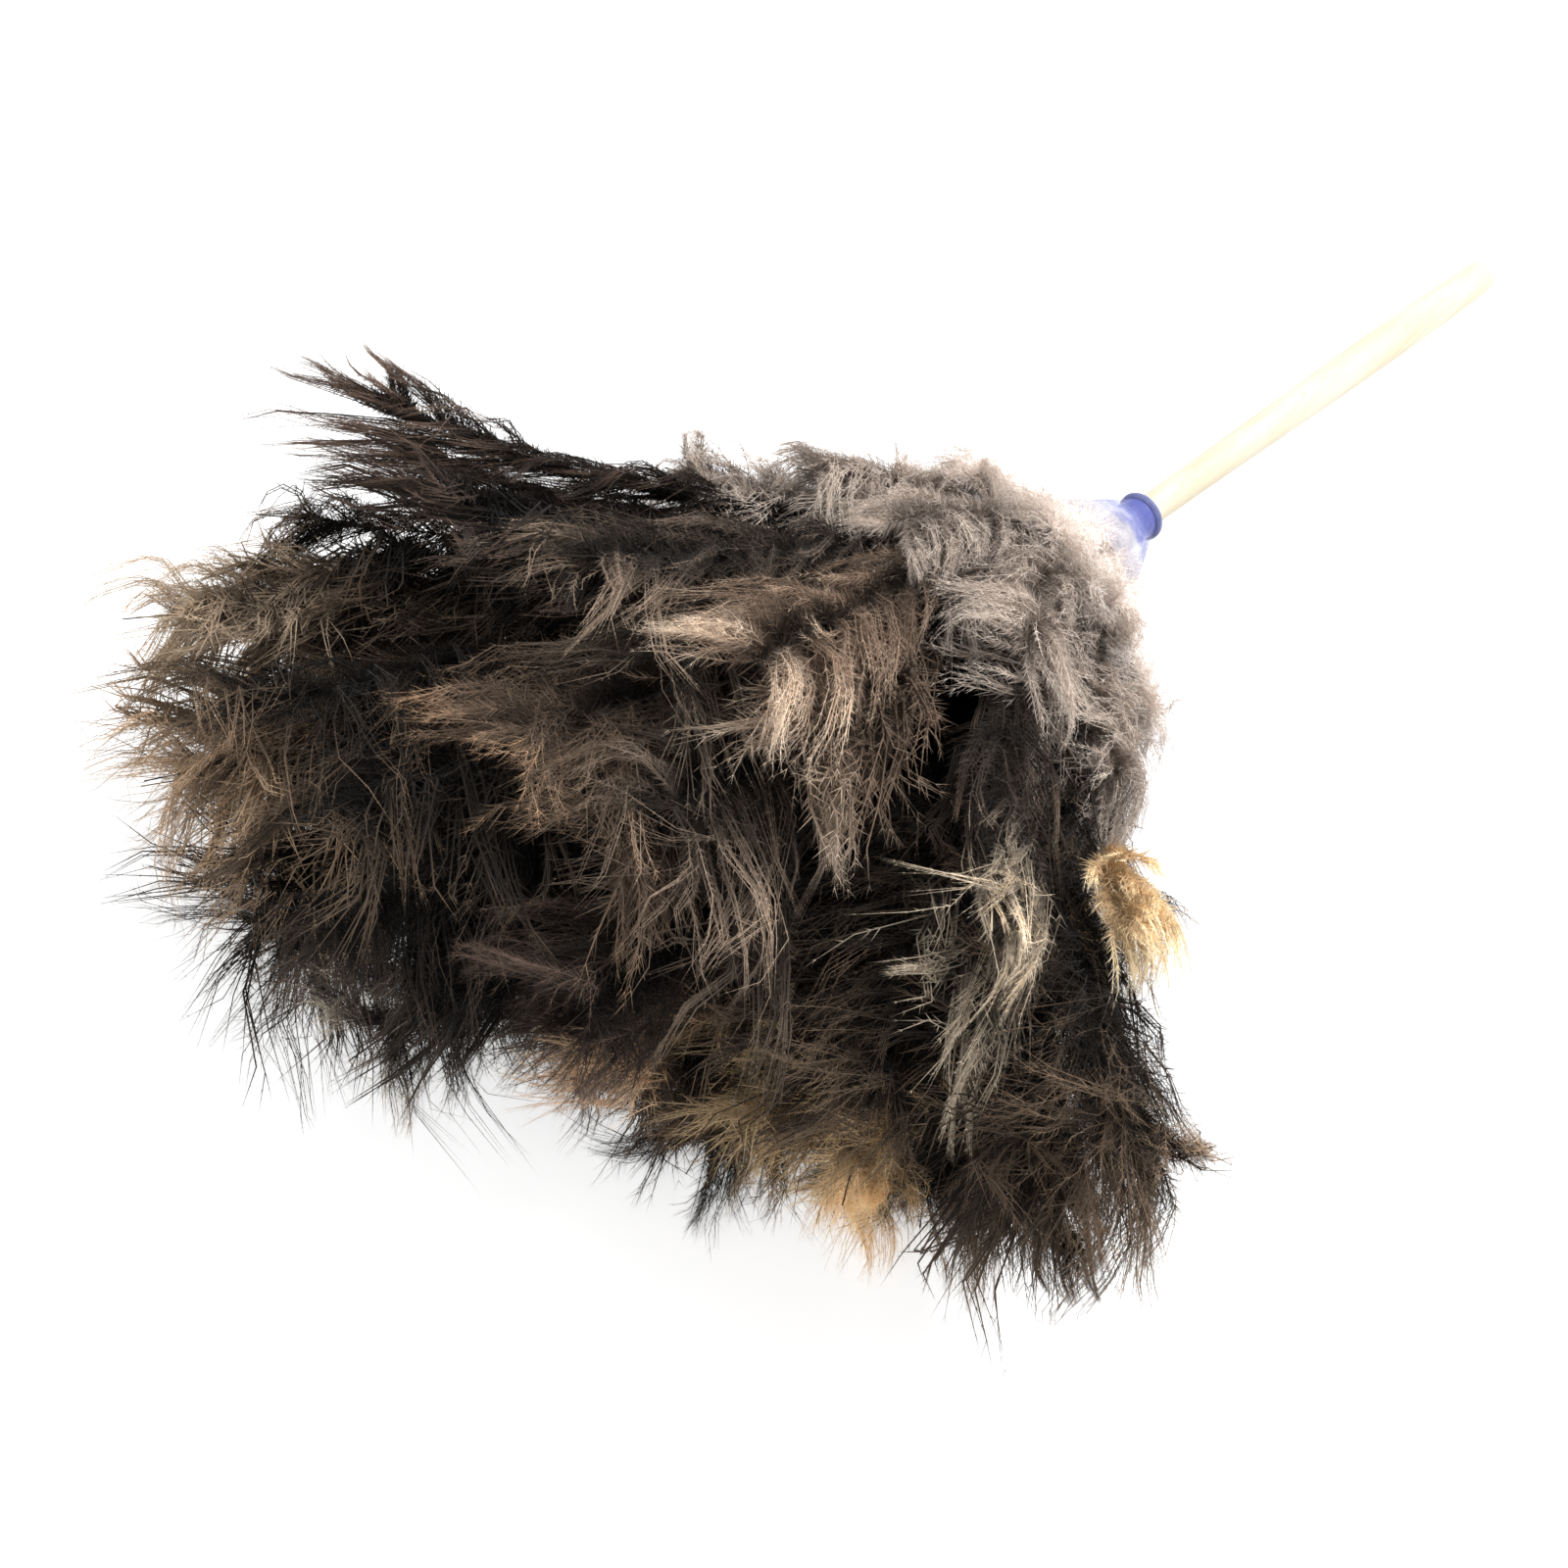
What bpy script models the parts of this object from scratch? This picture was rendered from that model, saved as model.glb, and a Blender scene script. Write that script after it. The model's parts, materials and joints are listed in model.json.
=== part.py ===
"""Ostrich feather duster, lying on a table: the handle's butt and the underside of the head touch z = 0.

Metres, +Z up. The handle's axis lies in the XZ plane and runs towards +X, dipping by REST_TILT. Along it,
"reach" is the distance from the collar cap's outer face towards the feather tips. The five rows of plumes are
bound to the core, the turned-down end of the handle, one behind the other. Each plume is a bare quill that
opens into an arched vane. The plumes are laid out as nested cones first. Then the whole head spreads, sags
and presses flat on the table as one soft mass, which keeps the plumes clear of each other.
"""

import math

import bmesh
import bpy
import numpy as np
from mathutils import Matrix

# How the duster lies
REST_TILT = math.radians(12)
REST_CUT = 0.0005  # how deep the pressed feathers are cut flat at the table
GAP = 0.0003  # clearance between pieces that touch

# Handle
HANDLE_EXPOSED = 0.247
NECK_RADIUS = 0.006
GRIP_RADIUS = 0.00775
BUTT_RADIUS = 0.007
BUTT_ROUNDING = 0.006
BUTT_FLAT_RADIUS = 0.0025
CORE_RADIUS = 0.005
CORE_PAST_LAST_ROW = 0.003
CORE_CHAMFER = 0.001
HANDLE_SIDES = 24
# Places along the exposed handle and the share of the swell there
SWELL_SHARES = ((0.0, 0.0), (0.12, 0.08), (0.3, 0.42), (0.5, 0.8), (0.68, 1.0), (0.82, 0.94))
ROUNDING_STEPS = 4

# Collar cap, a moulded plastic socket with a rim
CAP_LENGTH = 0.016
CAP_RADIUS = 0.0082
RIM_LENGTH = 0.0028
RIM_RADIUS = 0.0097
RIM_ROUNDING = 0.0008
CAP_SIDES = 32

# Film skirt, a thin pleated cone
SKIRT_REACH = 0.050
SKIRT_MOUTH_RADIUS = 0.030
SKIRT_NECK_LENGTH = 0.003
FILM_THICKNESS = 0.0008
PLEATS = 12
PLEAT_DEPTH = 0.0009
SKIRT_SIDES = 48
SKIRT_STEPS = 6

# Bindings, each a few turns of twine round one row of quills
TWINE_THICKNESS = 0.0012
TWINE_TURNS = 3
TWINE_GROOVE_SHARE = 0.35
BINDING_SIDES = 20
BINDING_MARGIN = 0.001  # bare quill behind the binding

# How the quills lift off the core and the vanes open
LIFT_LENGTH = 0.002
FLARE_LENGTH = 0.050
VANE_OPENING_LENGTH = 0.040
SKIRT_MARGIN = 0.0046  # from the axis of the shortest plumes to the film at the mouth
THICKNESS_AT_MOUTH_SHARE = 0.40  # half thickness, as a share of the space between rows
FILL_SHARE = 0.93  # width of a vane, as a share of its sector
LOBE_SHARE = 0.84  # narrower stations between the lobes
TIP_START_SHARE = 0.72  # where along a plume its tip starts to draw in
TIP_WIDTH_SHARE = 0.38
TIP_THICKNESS_SHARE = 0.35
STATION_POWER = 1.15  # stations lie closer together near the quill
PATH_STEPS = 400

# How the head spreads sideways, sags and presses flat
HEAD_REACH = 0.350
SPLAY_SHARE = 0.22
SPLAY_START_REACH = 0.100
SPLAY_FULL_REACH = 0.320
SAG = 0.012
SAG_POWER = 2.5
PRESS_HEIGHT = 0.080
FIRM_REACH = 0.060  # the head keeps its shape this near the collar
SOFT_REACH = 0.200  # and is as soft as it gets from here on
SETTLE_HEIGHT = 0.110  # above this the plumes settle on those below them
SETTLE_START = 0.030
SETTLE_SHARE = 0.45

# Plume sizes by row, from the collar to the end of the core. A length runs along the plume from its quill's
# end, and a thickest is half the thickness of the fullest part of the vane.
SHORT_LENGTH = 0.104
SHORT_QUILL_RADIUS = 0.0010
SHORT_THICKEST = 0.0075
MIDDLE_LENGTH = 0.180
MIDDLE_QUILL_RADIUS = 0.0011
MIDDLE_THICKEST = 0.0095
LONG_LENGTH = 0.285
LONG_QUILL_RADIUS = 0.0012
LONG_THICKEST = 0.0120
INNER_LENGTH = 0.272
INNER_QUILL_RADIUS = 0.0012
INNER_THICKEST = 0.0130
MOST_INNER_LENGTH = 0.268
MOST_INNER_QUILL_RADIUS = 0.0014
MOST_INNER_THICKEST = 0.0120

# lean is the angle between plume and axis, curl what the tip adds to it, growth_share the half thickness
# gained for each unit of length, and turn_share how far round its sector the first plume is moved. Plume 1
# of each row lies at the table, and the others follow towards +Y.
ROWS = (
    {
        "name": "short_plume",
        "count": 10,
        "quill_radius": SHORT_QUILL_RADIUS,
        "length": SHORT_LENGTH,
        "lean": math.radians(46.5),
        "curl": math.radians(7),
        "growth_share": 0.048,
        "thickest": SHORT_THICKEST,
        "turn_share": 0.5,
        "colour": (0.33, 0.30, 0.27),
        "reach_shares": (1.0, 0.94, 1.05, 0.93, 0.92, 0.98, 0.82, 0.92, 0.96, 1.02),
        "curl_shares": (1.0, 1.4, 0.8, 1.2, 1.0, 0.7, 1.3, 1.0, 0.9, 1.2),
        "stations": 8,
    },
    {
        "name": "middle_plume",
        "count": 12,
        "quill_radius": MIDDLE_QUILL_RADIUS,
        "length": MIDDLE_LENGTH,
        "lean": math.radians(39.5),
        "curl": math.radians(6),
        "growth_share": 0.040,
        "thickest": MIDDLE_THICKEST,
        "turn_share": 0.0,
        "colour": (0.25, 0.22, 0.19),
        "reach_shares": (0.95, 1.0, 0.93, 1.06, 0.92, 0.84, 0.88, 0.97, 0.94, 1.0, 1.02, 0.96),
        "curl_shares": (0.8, 1.2, 1.0, 0.6, 1.3, 1.0, 0.8, 1.1, 1.1, 0.9, 1.2, 1.0),
        "stations": 9,
    },
    {
        "name": "long_plume",
        "count": 14,
        "quill_radius": LONG_QUILL_RADIUS,
        "length": LONG_LENGTH,
        "lean": math.radians(33),
        "curl": math.radians(10),
        "growth_share": 0.040,
        "thickest": LONG_THICKEST,
        "turn_share": 0.5,
        "colour": (0.13, 0.11, 0.10),
        "reach_shares": (
            0.97, 1.24, 1.21, 1.15, 0.88, 1.06, 0.94, 0.92, 0.94, 0.99, 0.86, 0.88, 0.87, 0.98,
        ),
        "curl_shares": (
            1.0, 0.9, 0.5, 0.7, 2.8, 3.2, 0.7, 0.6, 0.9, 1.0, 1.9, 1.7, 1.2, 1.0,
        ),
        "stations": 11,
    },
    {
        "name": "inner_plume",
        "count": 9,
        "quill_radius": INNER_QUILL_RADIUS,
        "length": INNER_LENGTH,
        "lean": math.radians(19),
        "curl": math.radians(7),
        "growth_share": 0.060,
        "thickest": INNER_THICKEST,
        "turn_share": 0.25,
        "colour": (0.10, 0.085, 0.075),
        "reach_shares": (0.95, 1.17, 1.18, 1.21, 1.0, 0.95, 0.92, 0.92, 0.9),
        "curl_shares": (1.0, 0.6, 1.2, 0.8, 1.1, 1.0, 0.9, 0.7, 1.2),
        "stations": 11,
    },
    {
        "name": "core_plume",
        "count": 4,
        "quill_radius": MOST_INNER_QUILL_RADIUS,
        "length": MOST_INNER_LENGTH,
        "lean": math.radians(6.5),
        "curl": math.radians(5),
        "growth_share": 0.060,
        "thickest": MOST_INNER_THICKEST,
        "turn_share": 0.5,
        "colour": (0.16, 0.13, 0.11),
        "reach_shares": (1.1, 1.14, 1.0, 0.93),
        "curl_shares": (1.0, 0.6, 1.2, 0.8),
        "stations": 11,
    },
)

# One section across a vane, as shares of its half width and half thickness, clockwise from the shaft
VANE_SHARES = (
    (0.0, 1.0), (0.55, 0.78), (1.0, -0.2), (0.62, -0.8),
    (0.0, -0.55), (-0.62, -0.8), (-1.0, -0.2), (-0.55, 0.78),
)

SECTION_POINTS = len(VANE_SHARES)
SHARP_ANGLE = math.radians(40)

# Colours
WOOD_COLOUR = (0.93, 0.87, 0.74)
CAP_COLOUR = (0.16, 0.20, 0.50)
FILM_COLOUR = (0.66, 0.66, 0.80)
TWINE_COLOUR = (0.55, 0.47, 0.35)


def clear_scene():
    for thing in list(bpy.data.objects):
        bpy.data.objects.remove(thing, do_unlink=True)


def material(name, colour, roughness, alpha=1.0):
    made = bpy.data.materials.new(name)
    made.use_nodes = True
    shader = made.node_tree.nodes["Principled BSDF"]
    shader.inputs["Base Color"].default_value = (*colour, 1.0)
    shader.inputs["Roughness"].default_value = roughness
    shader.inputs["Alpha"].default_value = alpha
    return made


def smooth(value):
    """0 below 0, 1 above 1, and an even S between."""
    share = np.clip(value, 0.0, 1.0)
    return share * share * (3.0 - 2.0 * share)


def loft(name, rings, finish, parent, ring_closed=False):
    """One closed body through rings of points. Its ends are capped, or joined where ring_closed."""
    bm = bmesh.new()
    made = [[bm.verts.new(point) for point in ring] for ring in rings]
    pairs = list(zip(made, made[1:]))
    if ring_closed:
        pairs.append((made[-1], made[0]))
    for first, second in pairs:
        for k in range(len(first)):
            after = (k + 1) % len(first)
            bm.faces.new((first[k], first[after], second[after], second[k]))
    if not ring_closed:
        for ring in (made[0], made[-1]):
            middle = bm.verts.new(np.mean([vert.co for vert in ring], axis=0))
            for k in range(len(ring)):
                bm.faces.new((ring[k], ring[(k + 1) % len(ring)], middle))
    bmesh.ops.recalc_face_normals(bm, faces=bm.faces)
    mesh = bpy.data.meshes.new(name)
    bm.to_mesh(mesh)
    bm.free()
    mesh.shade_smooth()
    mesh.set_sharp_from_angle(angle=SHARP_ANGLE)
    mesh.materials.append(finish)
    made_object = bpy.data.objects.new(name, mesh)
    bpy.context.collection.objects.link(made_object)
    made_object.parent = parent
    return made_object


def turned_ring(reach, radius, sides):
    """A circle round the duster's axis. Its first point is uppermost, so one lies lowest too."""
    angles = 2.0 * math.pi * np.arange(sides) / sides
    return np.column_stack(
        [np.full(sides, -reach), radius * np.sin(angles), radius * np.cos(angles)]
    )


def turned(name, profile, sides, finish, parent, ring_closed=False):
    """A turned body from (reach, radius) pairs."""
    rings = [turned_ring(reach, radius, sides) for reach, radius in profile]
    return loft(name, rings, finish, parent, ring_closed)


def row_layout():
    """Adds to each row where it is bound, how far out its quills sit and how its neighbours limit it."""
    rows = [dict(row) for row in ROWS]
    binding_length = TWINE_TURNS * TWINE_THICKNESS
    for row in rows:
        row["ring_radius"] = CORE_RADIUS + GAP + row["quill_radius"]
        row["binding_inner"] = row["ring_radius"] + row["quill_radius"] + GAP
        row["binding_outer"] = row["binding_inner"] + TWINE_THICKNESS
    first = rows[0]
    first["butt_reach"] = CAP_LENGTH + GAP
    bound_to = first["butt_reach"] + BINDING_MARGIN + binding_length
    climb = SKIRT_MOUTH_RADIUS - FILM_THICKNESS - SKIRT_MARGIN - first["ring_radius"]
    lift = math.atan2(climb, SKIRT_REACH - bound_to - LIFT_LENGTH / 2)
    for before, row in zip(rows, rows[1:]):
        clear_radius = row["binding_outer"] + GAP + before["quill_radius"] / math.cos(lift)
        run = (clear_radius - before["ring_radius"]) / math.tan(lift) + LIFT_LENGTH / 2
        row["butt_reach"] = before["butt_reach"] + binding_length + run
    space = (rows[1]["butt_reach"] - first["butt_reach"]) * math.sin(lift)
    for row in rows:
        row["lift"] = lift
        row["binding_start"] = row["butt_reach"] + BINDING_MARGIN
        row["binding_end"] = row["binding_start"] + binding_length
        row["mouth_thickness"] = THICKNESS_AT_MOUTH_SHARE * space
    rows[-1]["lift"] = rows[-1]["lean"]
    return rows


def plume_path(row, reach_share, curl_share):
    """The shaft's line in the half plane of reach and radius: arrays of length, reach, radius and angle."""
    length = row["length"] * reach_share
    along = np.linspace(0.0, length, PATH_STEPS)
    step = along[1]
    bound = row["binding_end"] - row["butt_reach"]
    to_mouth = max(SKIRT_REACH - row["binding_end"], 0.0) / math.cos(row["lift"])
    past_mouth = along - bound - to_mouth
    angle = row["lift"] * smooth((along - bound) / LIFT_LENGTH)
    angle = angle + (row["lean"] - row["lift"]) * smooth(past_mouth / FLARE_LENGTH)
    curling = np.clip(past_mouth / (length - bound - to_mouth), 0.0, 1.0)
    angle = angle + row["curl"] * curl_share * curling**2
    reach = row["butt_reach"] + np.cumsum(np.cos(angle)) * step - math.cos(angle[0]) * step
    radius = row["ring_radius"] + np.cumsum(np.sin(angle)) * step - math.sin(angle[0]) * step
    return along, reach, radius, angle, past_mouth


def stations(row, length):
    """Places of the sections along the shaft, close together where the quill lifts off."""
    bound = row["binding_end"] - row["butt_reach"]
    open_length = length - bound - LIFT_LENGTH
    shares = (np.arange(1, row["stations"] + 1) / row["stations"]) ** STATION_POWER
    vane_places = bound + LIFT_LENGTH + open_length * shares
    return np.concatenate([[0.0, bound, bound + LIFT_LENGTH], vane_places])


def vane_outline(places, length):
    """Width and thickness shares along the shaft: lobed, and drawn in at the tip."""
    lobes = np.where(np.arange(len(places)) % 2 == 0, 1.0, LOBE_SHARE)
    to_tip = np.clip((places / length - TIP_START_SHARE) / (1.0 - TIP_START_SHARE), 0.0, 1.0)
    rounding = np.sqrt(1.0 - to_tip**2)
    width = lobes * (TIP_WIDTH_SHARE + (1.0 - TIP_WIDTH_SHARE) * rounding)
    thickness = TIP_THICKNESS_SHARE + (1.0 - TIP_THICKNESS_SHARE) * rounding
    return width, thickness


def plume_rings(row, number):
    """Sections of one plume before it sags: an array of stations, section points and coordinates."""
    reach_share = row["reach_shares"][number]
    along, reach, radius, angle, past_mouth = plume_path(
        row, reach_share, row["curl_shares"][number]
    )
    length = along[-1]
    places = stations(row, length)
    at = [np.interp(places, along, values) for values in (reach, radius, angle, past_mouth)]
    place_reach, place_radius, place_angle, place_past = at
    bound = row["binding_end"] - row["butt_reach"]
    opening = smooth((places - bound) / VANE_OPENING_LENGTH)
    width_share, thickness_share = vane_outline(places, length)
    half_width = place_radius * math.pi / row["count"] * FILL_SHARE * width_share
    growing = np.clip(place_past, 0.0, None) * smooth(place_past / FLARE_LENGTH)
    grown = row["mouth_thickness"] + row["growth_share"] * growing
    half_thickness = np.minimum(grown, row["thickest"]) * thickness_share
    turn = 2.0 * math.pi * (number + row["turn_share"]) / row["count"] - math.pi / 2
    round_angles = 2.0 * math.pi * np.arange(SECTION_POINTS) / SECTION_POINTS
    rings = []
    for k in range(len(places)):
        quill = row["quill_radius"] * np.column_stack([np.sin(round_angles), np.cos(round_angles)])
        vane = np.array(VANE_SHARES) * (half_width[k], half_thickness[k])
        section = quill + (vane - quill) * opening[k]
        out = place_radius[k] + section[:, 1] * math.cos(place_angle[k])
        forward = place_reach[k] - section[:, 1] * math.sin(place_angle[k])
        azimuth = turn + section[:, 0] / place_radius[k]
        rings.append(np.column_stack([-forward, out * np.cos(azimuth), out * np.sin(azimuth)]))
    return np.array(rings)


def handle_profile(core_end):
    """(reach, radius) pairs from the end of the core to the butt."""
    profile = [
        (core_end, CORE_RADIUS - CORE_CHAMFER),
        (core_end - CORE_CHAMFER, CORE_RADIUS),
        (CAP_LENGTH, CORE_RADIUS),
        (CAP_LENGTH, NECK_RADIUS),
    ]
    for place, swell in SWELL_SHARES:
        radius = NECK_RADIUS + (GRIP_RADIUS - NECK_RADIUS) * swell
        profile.append((-HANDLE_EXPOSED * place, radius))
    for step in range(ROUNDING_STEPS + 1):
        turn = math.pi / 2 * step / ROUNDING_STEPS
        reach = -HANDLE_EXPOSED + BUTT_ROUNDING * (1.0 - math.sin(turn))
        radius = BUTT_FLAT_RADIUS + (BUTT_RADIUS - BUTT_FLAT_RADIUS) * math.cos(turn)
        profile.append((reach, radius))
    return profile


def cap_profile():
    bore = NECK_RADIUS + GAP
    return [
        (0.0, bore),
        (0.0, RIM_RADIUS - RIM_ROUNDING),
        (RIM_ROUNDING, RIM_RADIUS),
        (RIM_LENGTH - RIM_ROUNDING, RIM_RADIUS),
        (RIM_LENGTH, RIM_RADIUS - RIM_ROUNDING),
        (RIM_LENGTH, CAP_RADIUS),
        (CAP_LENGTH, CAP_RADIUS),
        (CAP_LENGTH, bore),
    ]


def skirt_rings():
    """Rings down the outside of the film and back up its inside. The pleats deepen towards the mouth."""
    neck_inner = CAP_RADIUS + GAP
    start = RIM_LENGTH + GAP
    shoulder = start + SKIRT_NECK_LENGTH
    mouth_inner = SKIRT_MOUTH_RADIUS - FILM_THICKNESS
    reaches = [start] + list(np.linspace(shoulder, SKIRT_REACH, SKIRT_STEPS))
    angles = 2.0 * math.pi * np.arange(SKIRT_SIDES) / SKIRT_SIDES

    def ring(reach, extra):
        share = max(reach - shoulder, 0.0) / (SKIRT_REACH - shoulder)
        radius = neck_inner + (mouth_inner - neck_inner) * share + extra
        radius = radius + PLEAT_DEPTH * share * np.cos(PLEATS * angles)
        return np.column_stack(
            [np.full(SKIRT_SIDES, -reach), radius * np.sin(angles), radius * np.cos(angles)]
        )

    outside = [ring(reach, FILM_THICKNESS) for reach in reaches]
    inside = [ring(reach, 0.0) for reach in reversed(reaches)]
    return outside + inside


def binding_profile(row):
    """Grooved outside, one bulge for each turn of twine, and a plain bore over the quills."""
    clear_bore = row["binding_inner"] / math.cos(math.pi / BINDING_SIDES)
    groove = TWINE_THICKNESS * TWINE_GROOVE_SHARE
    outline = [(row["binding_start"], clear_bore)]
    for turn in range(TWINE_TURNS):
        start = row["binding_start"] + turn * TWINE_THICKNESS
        outline.append((start, row["binding_outer"] - groove))
        outline.append((start + TWINE_THICKNESS / 2, row["binding_outer"]))
    outline.append((row["binding_end"], row["binding_outer"] - groove))
    outline.append((row["binding_end"], clear_bore))
    return outline


def collar_height(profile):
    """Height of the cap's outer face on the axis that lets the turned handle touch the table."""
    return max(
        -reach * math.sin(REST_TILT) + radius * math.cos(REST_TILT) for reach, radius in profile
    )


def tilted(points, height):
    """From the duster's own axes to the table's, with the cap's outer face over the origin."""
    turn = np.array(Matrix.Rotation(REST_TILT, 3, "Y"))
    return points @ turn.T + (0.0, 0.0, height)


def softness_at(points, height):
    """The distance of points from the collar, and how far the head gives way there, from 0 to 1."""
    distance = np.linalg.norm(points - (0.0, 0.0, height), axis=-1)
    return distance, smooth((distance - FIRM_REACH) / (SOFT_REACH - FIRM_REACH))


def sagged(points, height):
    """The further from the collar, the lower and the wider apart. The uppermost plumes sink most."""
    distance, softness = softness_at(points, height)
    sunk = points.copy()
    splay = smooth((distance - SPLAY_START_REACH) / (SPLAY_FULL_REACH - SPLAY_START_REACH))
    sunk[..., 1] *= 1.0 + SPLAY_SHARE * splay
    sunk[..., 2] -= SAG * (distance / HEAD_REACH) ** SAG_POWER
    above = np.maximum(sunk[..., 2] - SETTLE_HEIGHT, 0.0)
    sunk[..., 2] -= SETTLE_SHARE * softness * above**2 / (above + SETTLE_START)
    return sunk


def pressed(points, height, floor):
    """What would hang below PRESS_HEIGHT is squeezed towards floor, but hardly near the collar."""
    softness = softness_at(points, height)[1]
    below = np.minimum(points[..., 2] - PRESS_HEIGHT, 0.0)
    room = PRESS_HEIGHT - floor
    squeezed = room * (np.exp(below / room) - 1.0)
    flat = points.copy()
    flat[..., 2] += softness * (squeezed - below)
    return flat


def press_floor(points, height):
    """The floor for pressed() that puts the lowest feather REST_CUT below the table."""
    low, high = -PRESS_HEIGHT * 2, PRESS_HEIGHT / 2
    for _ in range(50):
        middle = (low + high) / 2
        if pressed(points, height, middle)[..., 2].min() < -REST_CUT:
            low = middle
        else:
            high = middle
    return high


def cut_at_table(made_object):
    """Takes off what lies below z = 0 and closes the cut."""
    bm = bmesh.new()
    bm.from_mesh(made_object.data)
    geometry = bm.verts[:] + bm.edges[:] + bm.faces[:]
    bmesh.ops.bisect_plane(
        bm, geom=geometry, plane_co=(0, 0, 0), plane_no=(0, 0, 1), clear_inner=True
    )
    rims = [edge for edge in bm.edges if edge.is_boundary]
    bmesh.ops.holes_fill(bm, edges=rims)
    bmesh.ops.recalc_face_normals(bm, faces=bm.faces)
    bm.to_mesh(made_object.data)
    bm.free()


def centre_on_origin(placer):
    """Moves the whole duster so that its bounding box is centred on the origin in X and Y."""
    bpy.context.view_layer.update()
    corners = [
        made.matrix_world @ vert.co
        for made in placer.children_recursive
        if made.type == "MESH"
        for vert in made.data.vertices
    ]
    for axis in (0, 1):
        values = [corner[axis] for corner in corners]
        placer.location[axis] -= (min(values) + max(values)) / 2


def build_handle_and_collar(rows, parent):
    core_end = rows[-1]["binding_end"] + CORE_PAST_LAST_ROW
    wood = material("pale_wood", WOOD_COLOUR, 0.45)
    blue = material("cap_plastic", CAP_COLOUR, 0.3)
    film = material("skirt_film", FILM_COLOUR, 0.35, alpha=0.5)
    twine = material("binding_twine", TWINE_COLOUR, 0.9)
    turned("handle", handle_profile(core_end), HANDLE_SIDES, wood, parent)
    turned("collar_cap", cap_profile(), CAP_SIDES, blue, parent, ring_closed=True)
    loft("feather_skirt", skirt_rings(), film, parent, ring_closed=True)
    for row in rows:
        name = row["name"] + "_binding"
        turned(name, binding_profile(row), BINDING_SIDES, twine, parent, ring_closed=True)


def build_plumes(rows, height, parent):
    shapes = []
    for row in rows:
        for number in range(row["count"]):
            rings = sagged(tilted(plume_rings(row, number), height), height)
            shapes.append((f"{row['name']}_{number + 1:02d}", row, rings))
    everything = np.concatenate([rings.reshape(-1, 3) for _, _, rings in shapes])
    floor = press_floor(everything, height)
    for name, row, rings in shapes:
        finish = material(name, row["colour"], 0.85)
        plume = loft(name, pressed(rings, height, floor), finish, parent)
        if min(vert.co.z for vert in plume.data.vertices) < 0.0:
            cut_at_table(plume)


def build_duster():
    clear_scene()
    rows = row_layout()
    core_end = rows[-1]["binding_end"] + CORE_PAST_LAST_ROW
    height = collar_height(handle_profile(core_end))
    placer = bpy.data.objects.new("duster", None)
    axis = bpy.data.objects.new("duster_axis", None)
    for empty in (placer, axis):
        bpy.context.collection.objects.link(empty)
    axis.parent = placer
    axis.location = (0, 0, height)
    axis.rotation_euler = (0, REST_TILT, 0)
    build_handle_and_collar(rows, axis)
    build_plumes(rows, height, placer)
    centre_on_origin(placer)


build_duster()
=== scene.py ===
"""Looks of the ostrich feather duster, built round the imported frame.

Each plume of the frame is replaced by a shaft with hundreds of barbs, and each barb carries fine barbules.
The barbs are laid out along the same line as the solid plume: the formulas from row_layout() to pressed()
repeat those of the part's source. Loose plumes that the photograph shows over the rows are added. "reach"
runs along the duster's axis from the collar cap's outer face.
"""

import json
import math

import bmesh
import bpy
import numpy as np
from mathutils import Matrix, Vector


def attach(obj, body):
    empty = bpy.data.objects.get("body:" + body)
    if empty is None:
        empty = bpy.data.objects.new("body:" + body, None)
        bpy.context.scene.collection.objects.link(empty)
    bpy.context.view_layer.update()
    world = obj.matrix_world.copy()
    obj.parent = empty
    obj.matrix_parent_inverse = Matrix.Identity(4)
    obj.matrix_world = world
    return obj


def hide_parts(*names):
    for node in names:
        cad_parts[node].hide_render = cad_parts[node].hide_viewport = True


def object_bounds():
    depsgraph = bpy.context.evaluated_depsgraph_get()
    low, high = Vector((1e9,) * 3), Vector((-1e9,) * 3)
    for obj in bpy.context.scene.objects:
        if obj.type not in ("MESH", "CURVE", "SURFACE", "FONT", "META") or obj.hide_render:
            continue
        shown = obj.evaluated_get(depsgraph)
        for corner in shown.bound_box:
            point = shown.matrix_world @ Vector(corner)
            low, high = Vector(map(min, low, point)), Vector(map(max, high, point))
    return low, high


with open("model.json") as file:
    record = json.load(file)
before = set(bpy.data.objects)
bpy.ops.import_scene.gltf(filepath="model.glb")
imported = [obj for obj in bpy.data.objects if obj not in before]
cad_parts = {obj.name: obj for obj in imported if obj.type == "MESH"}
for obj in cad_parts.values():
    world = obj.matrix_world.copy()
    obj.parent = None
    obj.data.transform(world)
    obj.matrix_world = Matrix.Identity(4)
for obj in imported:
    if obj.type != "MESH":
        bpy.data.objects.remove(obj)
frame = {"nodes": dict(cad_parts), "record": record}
cad_low, cad_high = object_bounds()

# Sizes repeated from the part's source
HANDLE_EXPOSED = 0.247
GAP = 0.0003
CORE_RADIUS = 0.005
CAP_LENGTH = 0.016
CAP_RADIUS = 0.0082
RIM_LENGTH = 0.0028
SKIRT_REACH = 0.050
SKIRT_MOUTH_RADIUS = 0.030
SKIRT_NECK_LENGTH = 0.003
FILM_THICKNESS = 0.0008
TWINE_THICKNESS = 0.0012
TWINE_TURNS = 3
BINDING_MARGIN = 0.001
LIFT_LENGTH = 0.002
FLARE_LENGTH = 0.050
SKIRT_MARGIN = 0.0046
FILL_SHARE = 0.93
PATH_STEPS = 400
HEAD_REACH = 0.350
SPLAY_SHARE = 0.22
SPLAY_START_REACH = 0.100
SPLAY_FULL_REACH = 0.320
SAG = 0.012
SAG_POWER = 2.5
PRESS_HEIGHT = 0.080
PRESS_FLOOR = -0.0324112  # what the source's press_floor() finds
FIRM_REACH = 0.060
SOFT_REACH = 0.200
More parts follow.
